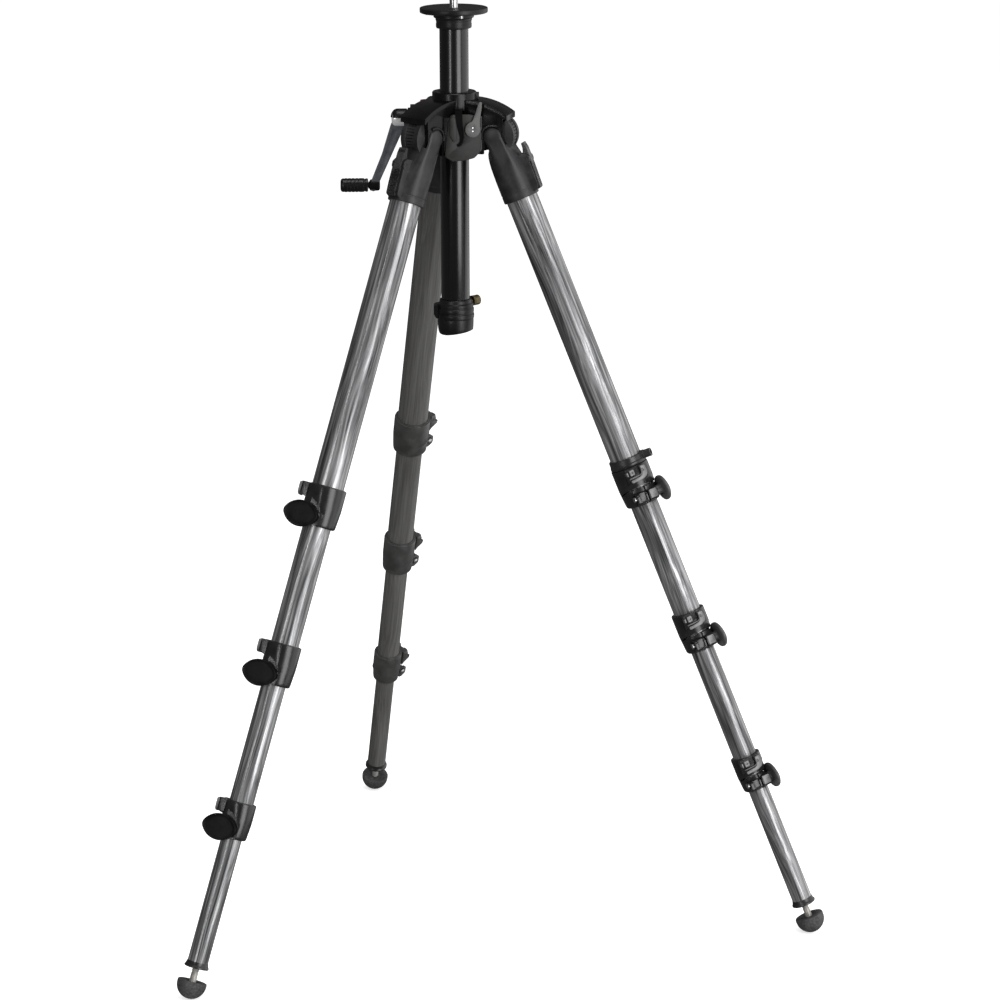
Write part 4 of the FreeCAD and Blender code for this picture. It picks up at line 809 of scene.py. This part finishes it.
# The tool clip: a sprung ring on the right leg's first tube with a hollow stub.
clip_ring = lathe([
    (18.52, -402.8), (20.0, -402.8), (20.9, -403.6), (20.9, -409.0), (21.6, -410.2), (21.6, -413.2),
    (18.52, -413.2)], 96)
stub = bar(4.9, (17.0, 0, CLIP_Z), (31.0, 0, CLIP_Z), 40)
stub_foot = bar(5.6, (17.0, 0, CLIP_Z), (22.6, 0, CLIP_Z), 40)
tube_room = bar(18.52, (0, 0, -420), (0, 0, -395), 96)
key_hole = prism(arc(3.4, 0, 360, 6, (0, CLIP_Z))[:-1], 24, 33, "YZ")
clip = carved("tool_clip_visual", clip_ring, (stub, stub_foot), (tube_room, key_hole),
              hip_matrix(LEGS["right"]), width=0.5)
finish_piece(clip, "right_leg_upper", "cast_black", ["tool_clip"], "clip_black")

# ------------------------------------------------------------------------ hub

# Hinge pins: smooth shanks that end in the hub's cheeks, and the lock lever's screw.
shanks = []
for azimuth in LEGS.values():
    shank = bar(4.99, (HIP_RADIUS, -18.9, -HIP_DEPTH), (HIP_RADIUS, 18.9, -HIP_DEPTH))
    shanks.append(new_object("shank", moved(shank, turned_z(azimuth))))
web_matrix = turned_z(WEB_AZIMUTH)
lever_screw = bar(2.5, (28.0, LEVER_Y, LEVER_Z), (42.0, LEVER_Y, LEVER_Z), 32)
shanks.append(new_object("lever_shank", moved(lever_screw, web_matrix)))
finish_piece(joined("hub_pins_visual", shanks), "hub", "steel", ["hub_pins"])

# Round spirit level: a red cup with a thin rim, on top of the gear block.
cup = lathe([(0, -114.9), (6.1, -114.9), (6.1, -109.0), (5.7, -108.5), (4.7, -108.5), (4.3, -109.0),
             (4.2, -109.9), (0, -109.7)], 64, closed=False)
plain_piece("bubble_level_visual", cup, "hub", "level_red", ["bubble_level"],
            matrix=Matrix.Translation((-33.4 * MM, 19.5 * MM, 0)))

# A raised arch round each hinge boss.
hinge = (HIP_RADIUS, -HIP_DEPTH)
ring = arc(14.4, 62, 196, 32, hinge) + arc(11.2, 196, 62, 32, hinge)
arches = []
for azimuth in LEGS.values():
    for low, high in both_sides(19.0, 21.6):
        arch = new_object("arch", moved(prism(ring, low, high), turned_z(azimuth)))
        add_bevel(arch, 0.9, 3)
        arches.append(settle(arch))
finish_piece(joined("hinge_arches", arches), "hub", "cast_black")

# The front web's cover: a rounded shield with a hooked groove.
shield = rounded([
    (-14.5, -117.5, 5), (-17.5, -128, 4), (-19.0, -140, 8), (-20.5, -152, 6), (-21.5, -165.5, 4),
    (-13.0, -171.5, 5), (2, -170.8, 12), (13.5, -168.5, 6), (20.5, -160.0, 6), (21.8, -145, 5),
    (20.8, -121.0, 4), (8, -118.0, 3)], 4, 35.6, 38.6, "YZ")
# The groove's middle line: (side, height, half width).
path = [(-5.6, -113.0, 4.2), (-5.0, -121.0, 3.9), (-4.0, -131.0, 3.3), (-2.6, -138.0, 2.8),
        (-1.6, -144.0, 2.3), (-2.2, -149.0, 2.0), (-4.4, -152.2, 1.8), (-7.4, -153.4, 1.4)]
left_side, right_side = [], []
for index, (side, level, half) in enumerate(path):
    before = Vector(path[max(index - 1, 0)][:2])
    after = Vector(path[min(index + 1, len(path) - 1)][:2])
    across = Vector((after.y - before.y, before.x - after.x)).normalized() * half
    left_side.append((side + across.x, level + across.y))
    right_side.append((side - across.x, level - across.y))
hook = left_side + right_side[::-1]
cover = carved("web_cover", shield, (), (prism(hook, 33, 45, "YZ"),), web_matrix, width=0.7, segments=3)
finish_piece(cover, "hub", "cast_black", (), "web_grey")
# Painted shade: a near-black sheet at the bottom of the web cover's hooked groove.
plain_piece("web_groove_painted_shade", prism(hook, 35.66, 38.42, "YZ"), "hub", "cast_black", (), "recess_painted_shade",
            web_matrix, 32)
tongue_blank = rounded([(-16.0, -121.5), (-10.0, -119.0), (-8.2, -130), (-7.4, -146, 2), (-12.0, -150, 4),
                        (-16.8, -140, 4)], 3, 38.2, 39.7, "YZ")
tongue = carved("web_tongue", tongue_blank, matrix=web_matrix, width=0.7, segments=3)
finish_piece(tongue, "hub", "cast_black", (), "web_grey")

# The lock lever: round eye with two pin holes, and a slim curved arm.
eye = prism(arc(8.8, 0, 360, 64, (LEVER_Y, LEVER_Z))[:-1], 38.9, 42.2, "YZ")
lever_arm = rounded([
    (6.0, -129, 2), (10.5, -125.0, 5), (14.0, -117.0, 6), (16.4, -109.5, 4), (18.2, -104.2, 2.2),
    (21.6, -104.0, 2.2), (21.2, -110.0, 5), (20.2, -117.0, 6), (18.9, -125.0, 6), (18.6, -133.0, 2)],
    3, 38.9, 41.6, "YZ")
pin_holes = [bar(0.75, (41.6, LEVER_Y, level), (44, LEVER_Y, level), 16)
             for level in (LEVER_Z + 1.9, LEVER_Z - 1.9)]
lever = carved("lock_lever_visual", eye, (lever_arm,), pin_holes, web_matrix, width=0.6, segments=3)
finish_piece(lever, "lock_lever", "latch_grey", ["lock_lever"], "lever_grey")

# ---------------------------------------------------------------------- crank

def along_crank(profile, level, steps, closed=False):
    """A lathe about the line that runs to -X through the crank's shaft or its grip."""
    place = Matrix.Translation(Vector((0, SHAFT_Y, level)) * MM) @ Matrix.Rotation(math.radians(-90), 4, "Y")
    return moved(lathe(profile, steps, closed), place)


# A chromed barrel under a black hood, and a flat arm that tapers to the grip.
barrel = along_crank([(0.0, 54.8), (8.6, 54.8), (9.4, 55.8), (9.6, 62.0), (9.4, 69.0), (8.2, 71.4),
                      (5.0, 72.6), (0.0, 72.9)], SHAFT_Z, 72)
# The barrel's chrome is a white finish with a painted reflection.
plain_piece("crank_head_chrome", barrel, "crank", "steel", (), "chrome_painted_reflection")
hood_profile = [(0.0, 54.6), (10.2, 54.6), (10.9, 55.4), (10.9, 66.0)]
for index in range(1, 9):
    angle = math.radians(90 * index / 9)
    hood_profile.append((10.9 * math.cos(angle), 66.0 + 8.0 * math.sin(angle)))
hood_profile.append((0.0, 74.0))
under_hood = block((-90, SHAFT_Y - 20, SHAFT_Z - 20), (-40, SHAFT_Y + 20, SHAFT_Z + 1.6))
hood = carved("crank_hood", along_crank(hood_profile, SHAFT_Z + 0.2, 72), (), (under_hood,), width=0.6,
              segments=3, angle=40)
finish_piece(hood, "crank", "grip_black")
arm_outline = round_outline([(-56.0, -133.0, 2), (-60.0, -129.0, 3), (-70.5, -131.5, 4), (-74.0, -138.0, 4),
                             (-84.5, -172.0, 20), (-97.5, -204.0, 6), (-99.0, -213.5, 5), (-93.0, -215.5, 4),
                             (-87.0, -203.0, 10), (-70.0, -166.0, 30), (-59.0, -142.0, 6)], 4)
arm = prism(arm_outline, SHAFT_Y - 4.4, SHAFT_Y + 4.4)
pocket = rounded([(-66.0, -142.5, 3), (-71.0, -142.5, 3), (-81.5, -174.0, 10), (-88.5, -193.0, 2.5),
                  (-85.0, -193.5, 2.5), (-75.5, -170.0, 10)], 2.5, SHAFT_Y - 8, SHAFT_Y - 3.7)
arm_obj = carved("crank_arm_visual", arm, (), (pocket,), width=0.8, segments=3)
finish_piece(arm_obj, "crank", "cast_grey", ["crank_arm"], "crank_blue")
# The elbow that holds the grip's pin.
elbow = along_crank([(0.0, 87.0), (4.6, 87.0), (6.2, 88.2), (6.6, 90.0), (6.6, 97.6), (5.9, 98.8),
                     (4.2, 99.4), (4.2, 100.4), (2.9, 100.6), (2.9, 127.0), (0.0, 127.4)], GRIP_Z, 56)
plain_piece("crank_elbow", elbow, "crank", "cast_grey", (), "knob_black", angle=30)

# The grip: a ribbed barrel with a rounded end.
grip_profile = [(3.1, 100.9), (6.9, 100.9), (7.7, 101.6), (7.9, 103.4), (7.2, 104.2), (7.2, 105.0),
                (8.0, 106.0)]
for index in range(5):
    start = 108.5 + index * 4.2
    grip_profile += [(8.1, start), (8.1, start + 2.6), (7.7, start + 3.0), (7.7, start + 3.6)]
grip_profile += [(8.0, 130.0), (7.2, 132.0), (5.4, 132.9), (0.0, 133.0), (0.0, 129.6), (3.1, 129.6)]
grip = along_crank(grip_profile, GRIP_Z, 64, closed=True)
plain_piece("crank_grip_visual", grip, "crank_grip", "grip_black", ["crank_grip"], angle=30)

# --------------------------------------------------------------------- column

# The head plate: a rimmed disc on a stepped neck.
plate = lathe([(5.7, -8.0), (5.7, -0.3), (6.1, 0.0), (30.0, 0.0), (30.3, -0.25), (31.0, -0.25), (31.3, 0.0),
               (34.0, 0.0), (34.3, -0.25), (35.0, -0.25), (35.3, 0.0), (38.0, 0.0), (38.7, -0.3),
               (39.0, -1.0), (39.0, -4.6), (38.6, -5.5), (37.6, -6.0), (35.6, -6.0), (35.0, -5.2),
               (27.4, -5.2), (26.8, -6.0), (23.6, -6.4), (23.2, -7.0), (23.2, -10.6), (22.6, -11.4),
               (21.4, -11.8), (20.9, -12.6), (20.9, -14.2), (20.4, -14.8), (20.2, -17.6), (20.5, -18.2),
               (20.5, -22.0), (19.9, -23.2), (18.6, -23.6), (16.72, -23.6), (16.72, -8.0)], 144)
holes = []
for azimuth in HOLE_AZIMUTHS:
    across = HOLE_CIRCLE * math.cos(math.radians(azimuth))
    along = HOLE_CIRCLE * math.sin(math.radians(azimuth))
    holes.append(bar(2.56, (across, along, -12), (across, along, 2), 32))
plate_obj = carved("head_plate_visual", plate, (), holes, width=0)
finish_piece(plate_obj, "column", "plate_black", ["head_plate"])

# The column's lower end: ribbed collar, a small boss on its left and a slanted cap.
collar = lathe([(16.72, -338.5), (18.0, -338.5), (18.6, -339.2), (18.9, -342.4), (20.4, -343.2),
                (20.9, -344.0), (20.9, -346.8), (20.4, -347.5), (20.4, -348.3), (21.3, -349.0),
                (21.5, -351.0), (21.4, -353.4), (20.6, -354.0), (20.6, -354.9), (21.6, -355.6),
                (21.8, -357.5), (21.6, -360.2), (20.9, -361.0), (16.72, -361.0)], 128)
side_boss = rounded([(-25.4, -344.5, 3), (-17.5, -343.0, 1), (-17.5, -361.0, 1), (-22.5, -361.0, 3),
                     (-25.6, -356.0, 4)], 3, -6.0, 6.0)
screw_room = bar(2.6, (0, 0, -345.0), (28.3, 28.3, -345.0), 32)
column_room = bar(16.72, (0, 0, -380), (0, 0, -330), 96)
collar_obj = carved("end_collar_visual", collar, (side_boss,), (screw_room, column_room), width=0.5,
                    segments=3)
finish_piece(collar_obj, "column", "plate_black", ["column_end_collar"])
cap_body = lathe([(0, -361.1), (20.7, -361.1), (21.0, -361.8), (21.0, -365.0), (20.7, -372.0),
                  (20.2, -376.0), (19.0, -378.9), (16.8, -380.2), (13.6, -380.5),
                  (0, -380.5)], 128, closed=False)
slant = moved(block((-60, -60, -40), (60, 60, 0)), Matrix.Translation((0, 0, -377.5 * MM))
              @ Matrix.Rotation(math.radians(-9), 4, "Y"))
cap_obj = carved("end_cap_visual", cap_body, (), (slant,), width=1.3, segments=4)
finish_piece(cap_obj, "column", "plate_black", ["column_end_cap"])

# --------------------------------------------- pieces that only get softer edges

for node, body, slot, width in (
        ("hub_casting", "hub", "cast_black", 0.7),
        ("column_bushes", "hub", "bush_plastic", 0.3),
        ("bearing_cap", "hub", "cast_black", 0.5),
        ("column_tube", "column", "column_gloss", 0.2),
        ("column_rack", "column", "column_gloss", 0.1),
        ("head_stud", "column", "steel", 0.3),
        ("plate_grub_screws", "column", "steel", 0.2),
        ("end_thumbscrew", "end_thumbscrew", "brass", 0.3),
        ("pinion_shaft", "crank", "steel", 0.2)):
    softened(node, body, slot, width)


# ------------------------------------------------------------- stage and light

# In metres.
FLOOR_HALF = 300
FLOOR_GAP = 0.0002

floor_mesh = bmesh.new()
bmesh.ops.create_grid(floor_mesh, x_segments=1, y_segments=1, size=FLOOR_HALF)
floor = new_object("floor", floor_mesh, Matrix.Translation((0, 0, cad_low.z - FLOOR_GAP)))
floor_finish = Finish(0.85, specular=0.1)
floor_finish.material.name = "floor_white"
tint = floor_finish.noise(0.8, detail=1.0)
floor_finish.colour(floor_finish.ramp(tint, (0.3, 0.93), (0.7, 0.94)))
floor_finish.shader.inputs["Emission Color"].default_value = (1.0, 1.0, 1.0, 1.0)
floor_finish.shader.inputs["Emission Strength"].default_value = 0.56
floor.data.materials.append(floor_finish.material)
floor.visible_diffuse = False
floor.visible_glossy = False
floor.visible_shadow = False

world = bpy.data.worlds.new("studio")
scene.world = world
world.use_nodes = True
sky = world.node_tree
background = sky.nodes["Background"]
background.inputs["Color"].default_value = (1.0, 1.0, 1.0, 1.0)
background.inputs["Strength"].default_value = 0.5
# A darker room for reflections, so that black and polished surfaces keep their contrast.
room = sky.nodes.new("ShaderNodeBackground")
room.inputs["Color"].default_value = (1.0, 1.0, 1.0, 1.0)
room.inputs["Strength"].default_value = 0.09
paths = sky.nodes.new("ShaderNodeLightPath")
choice = sky.nodes.new("ShaderNodeMixShader")
sky.links.new(paths.outputs["Is Glossy Ray"], choice.inputs[0])
sky.links.new(background.outputs[0], choice.inputs[1])
sky.links.new(room.outputs[0], choice.inputs[2])
sky.links.new(choice.outputs[0], sky.nodes["World Output"].inputs["Surface"])


def area_light(name, at, aim, width, height, power):
    data = bpy.data.lights.new(name, "AREA")
    data.energy = power
    data.shape = "RECTANGLE"
    data.size = width
    data.size_y = height
    light = bpy.data.objects.new(name, data)
    scene.collection.objects.link(light)
    light.location = at
    light.rotation_euler = (Vector(aim) - Vector(at)).to_track_quat("-Z", "Y").to_euler()


# Places and sizes in metres, power in watts.
AIM = (0, 0, -0.45)
area_light("soft_right", (2.45, -3.05, -0.1), (0, 0, -0.5), 2.0, 4.2, 120)
area_light("wall_right", (2.3, 1.2, -0.1), (0, 1.2, -0.1), 4.6, 4.0, 62)
area_light("strip_left", (-2.1, -3.5, 0.4), AIM, 0.35, 2.6, 28)
area_light("top", (0.2, -0.6, 2.6), AIM, 1.4, 1.4, 30)

# The camera's place in metres, its downward tilt in degrees and its roll in radians.
CAMERA_AT = (0, -4.0532, 0.4659)
CAMERA_DOWN = 14.81
CAMERA_ROLL = -0.0065

camera_data = bpy.data.cameras.new("camera")
camera_data.lens = 127.28
camera_data.sensor_width = 36.0
camera_data.shift_x = 0.043
camera_data.shift_y = 0.020
camera_data.clip_end = 100
camera = bpy.data.objects.new("camera", camera_data)
scene.collection.objects.link(camera)
camera.matrix_world = (Matrix.Translation(CAMERA_AT)
                       @ Matrix.Rotation(math.radians(90.0 - CAMERA_DOWN), 4, "X")
                       @ Matrix.Rotation(CAMERA_ROLL, 4, "Z"))
scene.camera = camera
scene.view_settings.view_transform = "Standard"
